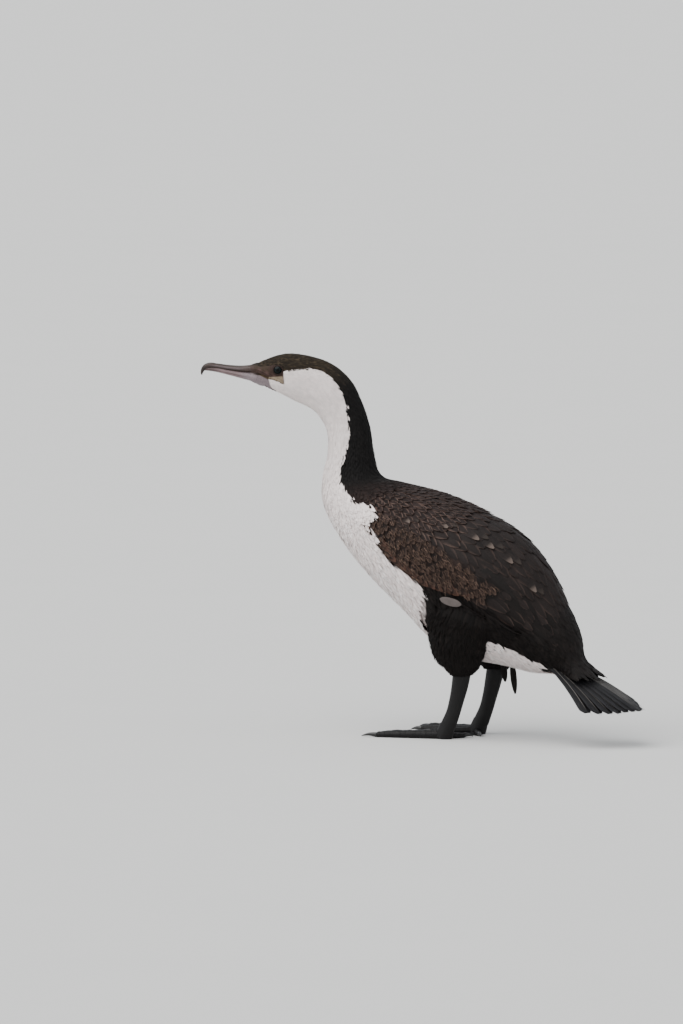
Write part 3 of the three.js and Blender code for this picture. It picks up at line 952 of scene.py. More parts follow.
def body_skin(settings):
    """Points, tints and map places of the skin from the face back to the tail."""
    face_rings = np.linspace(0.13, 2.2, 150)
    body_rings = np.linspace(2.25, LAST_STATION - FORM_MARGIN, 150)
    place, angle = surface_grid(np.concatenate([face_rings, body_rings]), SKIN_SIDES)
    x, z = side_view(place, angle)
    bare = bare_share(x, z) * (place < 3)
    margin = -coat_depth(place) * (1 - bare) + (face_relief(x, z) - 0.3) * smooth(0.1, 0.6, bare)
    margin = margin - CHIN_DRAW * (1 - smooth(0.13, 0.85, place)) * smooth(115, 150, np.abs(angle))
    uv = np.stack(map_place(place, angle), -1)
    return form(place, angle, margin), body_tint(settings, place, angle), uv


def bill_sleeve(settings):
    """The same for the skin that runs out over the bill's root."""
    bare = settings["bare"]
    share, angle = surface_grid(np.linspace(0, 0.97, 26), SKIN_SIDES)
    x = mix(SLEEVE_START, SLEEVE_END, share)
    middle = edge_at(MOUTH_LINE, x)
    _, head_z, head_half, head_wide, *_ = STATIONS[0]
    aside = head_wide * 1.07 * np.sin(np.radians(angle))
    up = head_z + head_half * 1.06 * np.cos(np.radians(angle)) - middle
    true_angle = np.degrees(np.arctan2(aside, up))
    head_reach = np.hypot(aside, up) - CHIN_DRAW * smooth(115, 150, np.abs(angle))
    thin_reach = bill_reach(x, true_angle) - 0.5 * (1 - smooth(0.0, 0.6, share))
    reach = mix(thin_reach, head_reach, smooth(0.15, 1.0, share))
    y = reach * np.sin(np.radians(true_angle))
    z = middle + reach * np.cos(np.radians(true_angle))
    relief = face_relief(x, z) * 0.5 * smooth(0.3, 1.0, share) / reach
    points = turned(x, y * (1 + relief), middle + (z - middle) * (1 + relief))
    on_top = smooth(-0.3, 0.6, z - edge_at(FACE_OUTLINE[:FACE_TOP_POINTS], x))
    tint = blend(face_tint(bare, x, z), rgb(settings["plumage"].cap) * 1.3, on_top)
    tint = blend(bill_tint_at(bare, x, z), tint, smooth(0.3, 1.0, share))
    uv = np.stack([SKIN_MAP_EDGE * share, SKIN_MAP_EDGE + SKIN_MAP_SPAN * (angle + 180) / 360], -1)
    return points, tint, uv


def make_skin(settings):
    """One skin from the bill's root to the tail, with the thighs joined on."""
    points, tint, uv = (np.concatenate(parts) for parts in zip(bill_sleeve(settings), body_skin(settings)))
    skin = tube_piece("skin", points, finish_of("face_skin"), tint, uv)
    known = [points.reshape(-1, 3)]
    known_tints = [tint.reshape(-1, 3)]
    for name in SIDES:
        surface = thigh_form(name)
        place, angle = surface_grid(np.linspace(0, surface.last, 20), 40)
        points = surface.point(place, angle, -THIGH_COAT)
        tint = filled(rgb(settings["plumage"].black), place)
        uv = np.stack(surface.root_uv(place, angle), -1)
        known.append(points.reshape(-1, 3))
        known_tints.append(tint.reshape(-1, 3))
        join_solid(skin, tube_piece("thigh_" + name, points, finish_of("face_skin"), tint, uv))
    repaint(skin.data, np.concatenate(known), np.concatenate(known_tints))
    skin.data.polygons.foreach_set("use_smooth", np.ones(len(skin.data.polygons), bool))
    flesh = ["head", "neck_upper", "neck_middle", "neck_lower", "trunk", "thigh_left", "thigh_right"]
    finish_piece(skin, flesh)


# Eyes and lids

PUPIL = np.array([0.0015, 0.0015, 0.0015])
# Beads round each eye: how many, and their radius in millimetres
LID_BEADS, BEAD_RADIUS = 34, 0.42
BEAD_NODES = {
    "inputs": "NodeGroupInput", "curve": "GeometryNodeMeshToCurve", "spread": "GeometryNodeResampleCurve",
    "bead": "GeometryNodeMeshIcoSphere", "size": "FunctionNodeRandomValue",
    "place": "GeometryNodeInstanceOnPoints", "real": "GeometryNodeRealizeInstances",
    "soft": "GeometryNodeSetShadeSmooth", "paint": "GeometryNodeSetMaterial", "outputs": "NodeGroupOutput",
}
# From a node and its socket, to a node and its socket
BEAD_LINKS = (
    ("inputs", "Path", "curve", "Mesh"), ("curve", "Curve", "spread", "Curve"),
    ("inputs", "Count", "spread", "Count"), ("inputs", "Radius", "bead", "Radius"),
    ("inputs", "Seed", "size", "Seed"), ("spread", "Curve", "place", "Points"),
    ("bead", "Mesh", "place", "Instance"), ("place", "Instances", "real", "Geometry"),
    ("real", "Geometry", "soft", "Geometry"), ("soft", "Geometry", "paint", "Geometry"),
    ("inputs", "Finish", "paint", "Material"), ("paint", "Geometry", "outputs", "Beads"),
)
BEAD_INPUTS = {
    "Count": "NodeSocketInt", "Radius": "NodeSocketFloat", "Seed": "NodeSocketInt",
    "Finish": "NodeSocketMaterial",
}


def make_eyes(settings):
    """Both eyes, each a ball with a slight bulge over a dark iris and pupil, and their lids."""
    iris = rgb(settings["bare"].iris)
    polar = np.linspace(0.02, math.pi - 0.02, 34)
    p, t = np.meshgrid(polar, np.linspace(0, 2 * math.pi, 48, endpoint=False), indexing="ij")
    radius = EYE_RADIUS * np.sin(p)
    bulge = 1 + 0.03 * bump(p, 0.0, 0.45)
    pupil = 1 - smooth(1.7, 1.95, np.where(p < math.pi / 2, radius, 9.0))
    tint = blend(blend(iris, iris * 0.3, smooth(3.0, 3.9, radius)), PUPIL, pupil)
    uv = np.stack([0.5 + 0.45 * p / math.pi * np.cos(t), 0.5 + 0.45 * p / math.pi * np.sin(t)], -1)
    for name, side in SIDES.items():
        y = side * (EYE_Y + EYE_RADIUS * bulge * np.cos(p))
        points = turned(EYE_X + radius * np.cos(t), y, EYE_Z + radius * np.sin(t))
        eye = tube_piece("eyeball_" + name, points, finish_of("wet_eye"), tint, uv)
        finish_piece(eye, ["eye_" + name])
        make_lids(settings, name, side)


def head_surface_y(x, z):
    """Half width of the head's form at points of its side view, in millimetres."""
    place, angle = np.meshgrid(np.linspace(0.2, 3.0, 200), np.linspace(20, 150, 200), indexing="ij")
    row = catmull(STATIONS, place)
    lean, angle = np.radians(row[..., 4]), np.radians(angle)
    form_x = row[..., 0] + row[..., 2] * np.cos(angle) * np.sin(lean)
    form_z = row[..., 1] + row[..., 2] * np.cos(angle) * np.cos(lean)
    half = row[..., 3] * np.sin(angle)
    nearest = [np.argmin((form_x - px) ** 2 + (form_z - pz) ** 2) for px, pz in zip(x, z)]
    return half.ravel()[nearest]


def beads_group():
    """Node group that strings beads of slightly differing size along a path of edges."""
    group = bpy.data.node_groups.new("Beads along a path", "GeometryNodeTree")
    sockets = group.interface
    sockets.new_socket("Path", in_out="INPUT", socket_type="NodeSocketGeometry")
    inputs = [sockets.new_socket(name, in_out="INPUT", socket_type=kind).identifier
              for name, kind in BEAD_INPUTS.items()]
    sockets.new_socket("Beads", in_out="OUTPUT", socket_type="NodeSocketGeometry")
    made = {label: group.nodes.new(kind) for label, kind in BEAD_NODES.items()}
    # Each bead's size lies between these two shares of the radius
    made["size"].data_type = "FLOAT"
    made["size"].inputs[2].default_value = 0.75
    made["size"].inputs[3].default_value = 1.25
    made["bead"].inputs["Subdivisions"].default_value = 2
    for start, output, end, socket in BEAD_LINKS:
        group.links.new(made[start].outputs[output], made[end].inputs[socket])
    group.links.new(made["size"].outputs[1], made["place"].inputs["Scale"])
    return group, inputs


def string_beads(name, points, count, radius, finish, tint):
    """Beads along a closed ring of points, as a plain mesh."""
    mesh = bpy.data.meshes.new(name)
    many = len(points)
    mesh.from_pydata([tuple(p) for p in points], [(i, (i + 1) % many) for i in range(many)], [])
    path = bpy.data.objects.new(name, mesh)
    bpy.context.scene.collection.objects.link(path)
    group, inputs = beads_group()
    modifier = path.modifiers.new("beads", "NODES")
    modifier.node_group = group
    for identifier, value in zip(inputs, (count, radius, SEED, finish)):
        modifier[identifier] = value
    bpy.context.view_layer.update()
    plain = bpy.data.meshes.new_from_object(path.evaluated_get(bpy.context.evaluated_depsgraph_get()))
    path.modifiers.clear()
    path.data = plain
    plain.color_attributes.new("Tint", "FLOAT_COLOR", "POINT")
    paint(plain, np.tile(tint, (len(plain.vertices), 1)))
    return path


def make_lids(settings, name, side):
    """Rim of skin round the eye, lying on the face, with a string of beads on it."""
    turn = np.linspace(0, 2 * math.pi, 96, endpoint=False)
    radius = 4.55 + 0.16 * np.cos(2 * turn)
    x = EYE_X + radius * np.cos(turn)
    z = EYE_Z + radius * 0.94 * np.sin(turn)
    centre = np.stack([x, head_surface_y(x, z) + 0.1, z], -1)
    away = unit(np.stack([np.cos(turn), -0.25 + 0 * turn, np.sin(turn)], -1))
    along = unit(np.roll(centre, -1, axis=0) - np.roll(centre, 1, axis=0))
    up = unit(np.cross(along, away))
    section = np.linspace(0, 2 * math.pi, 12, endpoint=False)[None, :, None]
    thick = (0.55 + 0.07 * np.sin(24 * turn))[:, None, None]
    ring = centre[:, None] + thick * (away[:, None] * np.cos(section) * 1.15 + up[:, None] * np.sin(section))
    points = turned(ring[..., 0], side * ring[..., 1], ring[..., 2])
    rings, sides = points.shape[:2]
    index = np.arange(rings * sides).reshape(rings, sides)
    after = np.roll(index, -1, axis=0)
    beside, after_beside = np.roll(index, -1, axis=1), np.roll(after, -1, axis=1)
    quads = np.stack([index, beside, after_beside, after], -1).reshape(-1, 4)
    if side < 0:
        quads = quads[:, ::-1]
    face = rgb(settings["bare"].face)
    u, v = np.meshgrid(np.linspace(0, 1, rings), np.linspace(0, 1, sides), indexing="ij")
    skin = finish_of("face_skin")
    maps = {"OFBake": np.stack([u, v], -1)}
    finish_piece(new_piece("lids_" + name, points, quads, skin, filled(face * 0.45, u), maps))
    rim = centre + away * 0.45 + up * 0.25
    rim_points = turned(rim[:, 0], side * rim[:, 1], rim[:, 2])
    beads = string_beads("lid_beads_" + name, rim_points, LID_BEADS, BEAD_RADIUS * MM, skin, face * 1.1)
    finish_piece(beads)


# Bill

def bill_points(rows, place, around, relief):
    """Points of one half of the bill, at places along its rows and degrees round it."""
    row = catmull(rows, place)
    ahead = catmull(rows, np.minimum(place + 0.02, len(rows) - 1))
    behind = catmull(rows, np.maximum(place - 0.02, 0))
    dx, dz = ahead[..., 0] - behind[..., 0], ahead[..., 1] - behind[..., 1]
    size = np.hypot(dx, dz)
    angle = np.radians(around)
    rise = (row[..., 2] + relief) * np.cos(angle)
    aside = (row[..., 3] + relief) * np.sin(angle)
    return turned(row[..., 0] + rise * (dz / size), aside, row[..., 1] + rise * (-dx / size))


def bill_tint_at(bare, x, z):
    """Colour at the bill's root, by the side view."""
    over = over_gape(x, z)
    upper = blend(rgb(bare.bill), rgb(bare.ridge), 0.75 * smooth(6.0, 9.0, over))
    return blend(rgb(bare.pouch), upper, smooth(-0.8, 0.8, over))


def bill_half(bare, name, node, rows, place, around, relief, tint):
    """One half of the bill, its tint led over to the face's colours at its root."""
    row = catmull(rows, place)
    x = row[..., 0]
    z = row[..., 1] + row[..., 2] * np.cos(np.radians(around))
    tint = blend(tint, bill_tint_at(bare, x, z), smooth(-234, -221, x))
    points = bill_points(rows, place, around, relief)
    uv = tube_map(place, len(rows) - 1, around)
    finish_piece(tube_piece(name, points, finish_of("bill_horn"), tint, uv), [node])


def make_bill(settings):
    """Upper half with ridge, groove and hooked nail, and lower half with its creased root."""
    bare = settings["bare"]
    horn, ridge, pouch = rgb(bare.bill), rgb(bare.ridge), rgb(bare.pouch)
    place, around = surface_grid(np.linspace(0, len(BILL_UPPER) - 1 - FORM_MARGIN, 150), 64)
    girth = np.abs(around)
    fade = 1 - smooth(5.0, 6.0, place)
    groove = -0.55 * bump(girth, 48, 7) * fade * smooth(0.4, 1.2, place)
    nail = 0.25 * smooth(5.0, 5.3, place) * (1 - smooth(5.3, 6.4, place)) * (girth < 70)
    edge = 0.35 * bump(girth, 112, 9) * fade
    flakes = 0.07 * np.sin(place * 37 + girth * 0.3) * np.sin(girth * 0.4 + place * 5) * fade
    tint = blend(filled(horn, place), ridge, 0.75 * (1 - smooth(22, 42, girth)))
    # Painted shade: the groove along each side of the upper half is painted darker
    tint = blend(tint, ridge, 0.45 * bump(girth, 48, 8))
    tint = blend(tint, pouch * 0.62, 0.6 * bump(girth, 86, 16) * fade)
    # Painted shade: a dark band under the raised edge, along the seam with the lower half
    tint = blend(tint, ridge * 0.7, 0.7 * bump(girth, 118, 14))
    tint = blend(tint, ridge * 0.8, 0.8 * smooth(5.5, 7.2, place))
    bill_half(bare, "bill_top", "bill_upper", BILL_UPPER, place, around,
              groove + nail + edge + flakes, tint)
    place, around = surface_grid(np.linspace(0, len(BILL_LOWER) - 1 - FORM_MARGIN, 120), 56)
    girth = np.abs(around)
    groove = -0.4 * bump(girth, 108, 7) * (1 - smooth(3.6, 4.6, place))
    creases = 0.12 * np.sin(place * 9 + girth * 0.22) * smooth(112, 130, girth)
    creases = creases * (1 - smooth(2.0, 3.2, place))
    tint = blend(filled(pouch, place), pouch * np.array([0.86, 0.70, 0.66]), smooth(1.6, 3.4, place) * 0.8)
    # Painted shade: the lower half's top, which lies in the upper half's hollow, is painted dark
    tint = blend(tint, ridge, 0.55 * (1 - smooth(35, 62, girth)))
    # Painted shade: the groove along each side of the lower half is painted darker
    tint = blend(tint, horn * 0.8, 0.75 * bump(girth, 108, 7))
    tint = blend(tint, horn * 0.7, 0.6 * smooth(4.3, 5.6, place))
    # Painted shadow: the lower half's underside is painted darker
    tint = blend(tint, rgb(bare.face) * 0.8, 0.7 * smooth(150, 172, girth))
    bill_half(bare, "bill_under", "bill_lower", BILL_LOWER, place, around,
              groove + creases, tint)


# Legs

# Each toe: its tip ahead of and outside the ankle, radius at root and tip, claw's length, in
# millimetres, and the shares of its length where its joints are
TOES = {
    "hind": (-14, -19, 3.4, 2.5, 10, (0.55,)),
    "inner": (41, -22, 4.2, 2.8, 11, (0.45, 0.8)),
    "middle": (61, -3, 4.8, 3.0, 12, (0.36, 0.64, 0.86)),
    "outer": (65, 20, 5.2, 3.2, 15, (0.26, 0.46, 0.66, 0.86)),
}
# How high a toe's middle line lies, as a share of its radius
TOE_SINK = 0.75
# The web's height at the toes, half its thickness and the depth of its creases, in millimetres
WEB_HEIGHT, WEB_HALF, WEB_CREASE = 1.75, 0.42, 0.28


def leg_tint(settings, light):
    """The leg's colour, lighter or darker by a share at each point."""
    return rgb(settings["bare"].leg) * (1 + light)[..., None]


def toe_line(name, toe):
    """Root and tip of a toe on the floor, in millimetres."""
    ahead, out, *_ = TOES[toe]
    back, side = LEG_BACK[name], SIDES[name]
    return np.array([back, side * LEG_OUT, 0.0]), np.array([back - ahead, side * (LEG_OUT + out), 0.0])


def sideways(forward):
    """Level direction at right angles to a level one."""
    return np.array([-forward[1], forward[0], 0.0])


def in_frame(points):
    """Millimetres of the bird as metres of the shared frame."""
    return (points + np.array([SHIFT_X, 0.0, 0.0])) * MM


def make_shin(settings, name):
    """Lower leg, with plates down its front and small scales behind."""
    surface = LimbForm(on_side(SHIN, name))
    place, around = surface_grid(np.linspace(0, surface.last, 170), 72)
    front = smooth(95, 120, np.abs(around))
    seams = (1 - smooth(0.0, 0.35, np.abs(np.sin(place * 13.0)))) * front
    beads = np.sin(np.radians(around) * 22 + 2 * np.sin(place * 11)) * np.sin(place * 42) * (1 - front)
    points = surface.point(place, around, -0.42 * seams + 0.14 * beads)
    # The seams between the front plates are dark; the beads behind are painted lighter where they rise and
    # darker where they sink, a painted light and shade
    tint = leg_tint(settings, -0.4 * seams + 0.25 * beads)
    uv = tube_map(place, surface.last, around)
    shin = tube_piece("lower_leg_" + name, points, finish_of("leg_skin"), tint, uv)
    finish_piece(shin, ["shin_" + name])


def make_toe(settings, name, toe):
    """One toe, thicker at its joints, with plates across its top."""
    root, tip = toe_line(name, toe)
    _, _, radius, tip_radius, _, joints = TOES[toe]
    length = np.linalg.norm(tip - root)
    shares = np.linspace(0, 1, int(length * 1.6))
    knuckle = sum(bump(shares, joint, 0.035) for joint in joints)
    s, a = np.meshgrid(shares, np.linspace(-180, 180, 36, endpoint=False), indexing="ij")
    swelling = 0.35 * np.interp(s, shares, knuckle)
    middle = mix(radius, tip_radius, s)
    size = (middle + swelling) * np.sqrt(np.clip((1.001 - s) / 0.05, 0, 1)).clip(0.35, 1)
    top = smooth(40, 80, 180 - np.abs(a)) * (np.abs(a) < 100)
    seams = (1 - smooth(0.0, 0.4, np.abs(np.sin(s * length * math.pi / 5.2)))) * top
    size = size + (-0.3 * seams + 0.1 * np.sin(a * 0.2) * np.sin(s * length * 2.1) * (1 - top))
    angle = np.radians(a)
    across = sideways((tip - root) / length)
    points = root + (tip - root) * s[..., None] + across * (size * np.sin(angle))[..., None]
    points[..., 2] = np.maximum(middle * TOE_SINK + size * np.cos(angle), 0.0)
    # Painted highlight: the knuckles are painted lighter where they swell; the seams between the top plates
    # are dark
    tint = leg_tint(settings, swelling - 0.4 * seams)
    piece = "toe_%s_%s" % (name, toe)
    return tube_piece(piece, in_frame(points), finish_of("leg_skin"), tint, tube_map(s, 1.0, a))


def make_web(settings, name, inner, outer):
    """Skin between two toes, thin and creased, with a hollow front edge."""
    root_a, tip_a = toe_line(name, inner)
    root_b, tip_b = toe_line(name, outer)
    rows, columns = 34, 34
    s, t = np.meshgrid(np.linspace(0.03, 1, rows), np.linspace(0, 1, columns), indexing="ij")
    reach = 1 - 0.17 * np.sin(math.pi * t)
    a = root_a + (tip_a - root_a) * (s * reach * 0.985)[..., None]
    b = root_b + (tip_b - root_b) * (s * reach * 0.985)[..., None]
    creases = WEB_CREASE * np.sin(t * 26 + 3 * np.sin(s * 7)) * np.sin(math.pi * t) * s
    height = WEB_HEIGHT + creases - 0.5 * np.sin(math.pi * t) * s
    top = a + (b - a) * t[..., None]
    low = top.copy()
    top[..., 2] = height + WEB_HALF
    low[..., 2] = np.maximum(height - WEB_HALF, 0.15)
    below = rows * columns
    index = np.arange(below).reshape(rows, columns)
    near, far, far_next, near_next = index[:-1, :-1], index[1:, :-1], index[1:, 1:], index[:-1, 1:]
    loop = np.concatenate([index[0, :-1], index[:-1, -1], index[-1, :0:-1], index[:0:-1, 0]])
    after = np.roll(loop, -1)
    faces = np.concatenate([
        np.stack([near, far, far_next, near_next], -1).reshape(-1, 4),
        np.stack([near, near_next, far_next, far], -1).reshape(-1, 4) + below,
        np.stack([loop, after, after + below, loop + below], -1),
    ])
    points = np.concatenate([top.reshape(-1, 3), low.reshape(-1, 3)])
    # Painted light and shade: the creases are painted lighter on their ridges and darker in their folds
    tint = leg_tint(settings, 0.5 * creases / WEB_CREASE + 0.15)
    uv = np.stack([TUBE_MAP_EDGE + TUBE_MAP_SPAN * s, TUBE_MAP_EDGE + TUBE_MAP_SPAN * t], -1)
    maps = {"OFBake": np.concatenate([uv, uv])}
    return new_piece("web_%s_%s" % (name, outer), in_frame(points), outward(points, faces),
                     finish_of("leg_skin"), np.concatenate([tint, tint]), maps)


def make_claw(settings, name, toe):
    """Claw of one toe, curved down to the floor."""
    root, tip = toe_line(name, toe)
    claw = TOES[toe][4]
    forward = unit(tip - root)
    s, a = np.meshgrid(np.linspace(0, 1, 26), np.linspace(-180, 180, 20, endpoint=False), indexing="ij")
    rise = 2.3 + 0.9 * np.sin(math.pi * s * 0.8) - 1.95 * s ** 2
    high = 2.2 * (1 - s) ** 0.75 + 0.25
    wide = 1.75 * (1 - s) ** 0.8 + 0.25
    angle = np.radians(a)
    aside = sideways(forward) * (wide * np.sin(angle))[..., None]
    points = tip + forward * (s * claw - 1.2)[..., None] + aside
    points[..., 2] = np.maximum(rise + high * np.cos(angle), 0.02)
    tint = rgb(settings["bare"].leg) * (0.7 + 0.9 * s ** 2)[..., None]
    nail = "nail_%s_%s" % (name, toe)
    piece = tube_piece(nail, in_frame(points), finish_of("claw_horn"), tint, tube_map(s, 1.0, a))
    finish_piece(piece, ["claw_%s_%s" % (name, toe)])


def make_foot(settings, name):
    """Ankle, toes, webs and claws of one foot."""
    surface = LimbForm(on_side(KNUCKLE, name))
    place, around = surface_grid(np.linspace(0, surface.last, 40), 48)
    beads = np.sin(np.radians(around) * 16) * np.sin(place * 30)
    points = surface.point(place, around, 0.15 * beads)
    points[..., 2] = np.maximum(points[..., 2], 0.0)
    # Painted light and shade: the beads are painted lighter where they rise and darker where they sink
    tint = leg_tint(settings, 0.25 * beads)
    uv = tube_map(place, surface.last, around)
    pieces = [tube_piece("ankle_" + name, points, finish_of("leg_skin"), tint, uv)]
    order = list(TOES)
    pieces += [make_toe(settings, name, toe) for toe in order]
    pieces += [make_web(settings, name, a, b) for a, b in zip(order, order[1:])]
    for piece in pieces:
        finish_piece(piece, ["foot_" + name])
    for toe in order:
        make_claw(settings, name, toe)


# Coat

def coat_start(settings, number):
    """A coat's own random draws, the plumage's colours and the body's form."""
    return np.random.default_rng(SEED + number), settings["plumage"], BodyForm()


def value_at(value, place, girth):
    """A value, or what a function gives for each root."""
    return value(place, girth) if callable(value) else value


def lay_roots(vanes, surface, rng, low, high, spacing, keep, tint, length, width, depths, row_spacing=None,
              sway=0.0, edge=None, **shape):
    """Lays a feather on each root found between two places, and returns where and how they lie.

    tint is a function of place and girth; length, depths, sway and edge may be one."""
    place, around = roots(rng, surface, low, high, spacing, keep, row_spacing)
    many = len(place)
    girth = np.abs(around)
    size = rng.uniform(0.88, 1.14, many)
    tints = tint(place, girth)
    edges = value_at(edge, place, girth)
    bend = value_at(sway, place, girth) + rng.normal(0, 4.0, many)
    reach = value_at(length, place, girth) * size
    root_depth, tip_depth = value_at(depths, place, girth)
    stray = rng.normal(0, 0.12, many)
    lay(vanes, surface, place, around, bend, reach, width * size, (root_depth, tip_depth + stray), tints,
        edge=edges, **shape)
    return place, around, bend, reach


def hair_widths(_):
    """Half width of a barb at its root, middle and tip, as a share."""
    return np.array([1.0, 0.7, 0.08])


def hairs(vanes, surface, rng, place, around, sway, length, spread, many, size, colour, depths, start=0.72,
          width=0.5):
    """Loose barbs that split from feather tips: many to each feather, spread about its way."""
    root_depth, tip_depth = depths
    for _ in range(many):
        lean = sway + rng.normal(0, spread, len(place))
        offset = rng.uniform(-0.5, 0.5, len(place))
        p, g = advance(surface, place, around, sway, length * start)
        p, g = advance(surface, p, g, sway + 90.0, offset * size)
        tint = colour * np.exp(rng.normal(0, 0.4, (len(place), 1)))
        reach = length * rng.uniform(0.2, 0.46, len(place))
        rise = rng.uniform(0.0, 0.5, len(place))
        lay(vanes, surface, p, g, lean, reach, width, (root_depth, tip_depth + rise), tint,
            section=HAIR_SECTION, ring_count=3, thick=0.16, widths=hair_widths, cup=0.0)


def shaded(rng, colour, spread):
    """Gives each feather its own shade of a colour."""
    return lambda place, girth: shades(rng, colour, len(place), spread)


def under_coat(share, lift=0.0):
    """Depths of feathers that start at a share of the coat's depth and end at its surface or above it."""
    return lambda place, girth: (-coat_depth(place) * share, lift)


def growing(length, gain, start):
    """Feather lengths in millimetres that grow with the place along the body."""
    return lambda place, girth: length + gain * (place - start)


def bending(share):
    """Feathers that turn down more, the further they lie from the back."""
    return lambda place, girth: share * girth


def is_dark(place, girth):
    return dark_share(place, girth) > 0.5


def is_pale(place, girth):
    return ~is_dark(place, girth)


def is_feathered(place, girth):
    """Outside the bare face."""
    x, z = side_view(place, girth)
    return (depth_inside(FACE_OUTLINE, x, z) < 0.1) | (place > 3)


def has_coverts(place, girth):
    """On the frayed small feathers of the wing."""
    inside = (girth > edge_at(COVERT_TOP, place)) & (girth < edge_at(COVERT_LOW, place) - 7)
    return inside & (place > 9.9) & (place < 14.3)


def on_wing_area(place, girth):
    return (place > 9.95) & (girth < edge_at(WING_LOW, place)) & (girth > 66)


def make_head_coat(settings):
    """Flecked cap and white cheeks, down to the edge of the bare face."""
    rng, colours, body = coat_start(settings, 1)
    cap = Vanes()
    cheeks = Vanes()
    fleck_tint, nape_tint = rgb(colours.cap_fleck)[None] * 0.9, rgb(colours.hindneck)[None] * 1.6

    def cap_tint(place, girth):
        tint = shades(rng, colours.cap, len(place), 0.25)
        fleck = (rng.random(len(place)) < 0.26 * (1 - smooth(3.0, 5.0, place)))[:, None]
        tint = np.where(fleck, shades(rng, colours.cap_fleck, len(place), 0.3), tint)
        return blend(tint, shades(rng, colours.hindneck, len(place), 0.2), smooth(3.0, 4.6, place))

    def cap_edge(place, girth):
        return blend(fleck_tint, nape_tint, smooth(2.5, 4.0, place))

    def cheek_depths(place, girth):
        x, z = side_view(place, girth)
        return -coat_depth(place) * 0.4 * smooth(0.0, 5.0, -depth_inside(FACE_OUTLINE, x, z)), 0.0

    lay_roots(cap, body, rng, 0.06, 4.1, 1.3, lambda p, g: is_feathered(p, g) & is_dark(p, g), cap_tint,
              lambda p, g: 2.9 + 1.3 * np.minimum(p, 4), 1.6, lambda p, g: (-coat_depth(p) * 0.9 - 0.1, 0.0),
              edge=cap_edge, thick=0.12, cup=0.05)
    lay_roots(cheeks, body, rng, 0.5, 4.1, 1.5, lambda p, g: is_feathered(p, g) & is_pale(p, g),
              shaded(rng, colours.white, 0.03), lambda p, g: 4.2 + 1.5 * np.minimum(p, 4), 1.9, cheek_depths,
              thick=0.06, cup=0.03)
    cap.piece("cap_feathers", finish_of("cap_brown"), "plumage_brown")
    cheeks.piece("cheek_feathers", finish_of("soft_white"), "plumage_white")


def make_neck_coat(settings):
    """Dark hindneck and white foreneck."""
    rng, colours, body = coat_start(settings, 2)
    hindneck = Vanes()
    foreneck = Vanes()

    def hindneck_tint(place, girth):
        tint = shades(rng, colours.hindneck, len(place), 0.25)
        return blend(tint, shades(rng, colours.mantle, len(place), 0.3), smooth(7.6, 9.0, place))

    lay_roots(hindneck, body, rng, 3.9, 9.2, 2.1, is_dark, hindneck_tint, growing(7.0, 1.0, 4), 2.7,
              under_coat(0.95), thick=0.25, cup=0.05)
    lay_roots(foreneck, body, rng, 3.9, 9.2, 2.2, is_pale, shaded(rng, colours.white, 0.03),
              lambda p, g: 9.5 + p - 4, 2.9, under_coat(0.55), thick=0.10, cup=0.04)
    hindneck.piece("hindneck_feathers", finish_of("cap_brown"), "plumage_black")
    foreneck.piece("foreneck_feathers", finish_of("soft_white"), "plumage_white")


def shoulder_lift(place, girth):
    """Raises the white feathers that lie over the front of the folded wing."""
    along = smooth(9.0, 9.6, place) * (1 - smooth(10.3, 10.8, place))
    return 1.1 * along * smooth(52, 60, girth) * (1 - smooth(88, 100, girth))


def make_breast_coat(settings):
    """White feathers of breast, belly and vent, with loose tips."""
    rng, colours, body = coat_start(settings, 3)
    white = shaded(rng, colours.white, 0.04)
    hair_tint = rgb(colours.white)[None]

    def keep(place, girth):
        return is_pale(place + 0.5 * smooth(12.4, 13.2, place), girth) & ~on_wing_area(place, girth + 3)

    breast = Vanes()
    laid = lay_roots(breast, body, rng, 9.0, 14.6, 3.2, keep, white, growing(15, 0.7, 9), 5.4,
                     lambda p, g: (-coat_depth(p) * 0.5, 0.1 + shoulder_lift(p, g)), thick=0.12, cup=0.05)
    hairs(breast, body, rng, *laid, 7.0, 2, 4.0, hair_tint, (-0.4, 0.2), width=0.4)
    breast.piece("breast_feathers", finish_of("soft_white"), "plumage_white")
    vent = Vanes()
    laid = lay_roots(vent, body, rng, 14.4, 17.6, 3.4, keep, white, 17.0, 4.6, (-3.4, 1.4), thick=0.3,
                     cup=0.08)
    hairs(vent, body, rng, *laid, 16.0, 3, 4.0, hair_tint, (0.0, 1.8), width=0.4)
    vent.piece("vent_feathers", finish_of("soft_white"), "plumage_white")


# Pale tips among the long shoulder feathers: place and degrees from the back
PALE_SPOTS = ((11.2, 62), (12.25, 46), (13.2, 40), (13.7, 38), (14.3, 36), (15.4, 37))


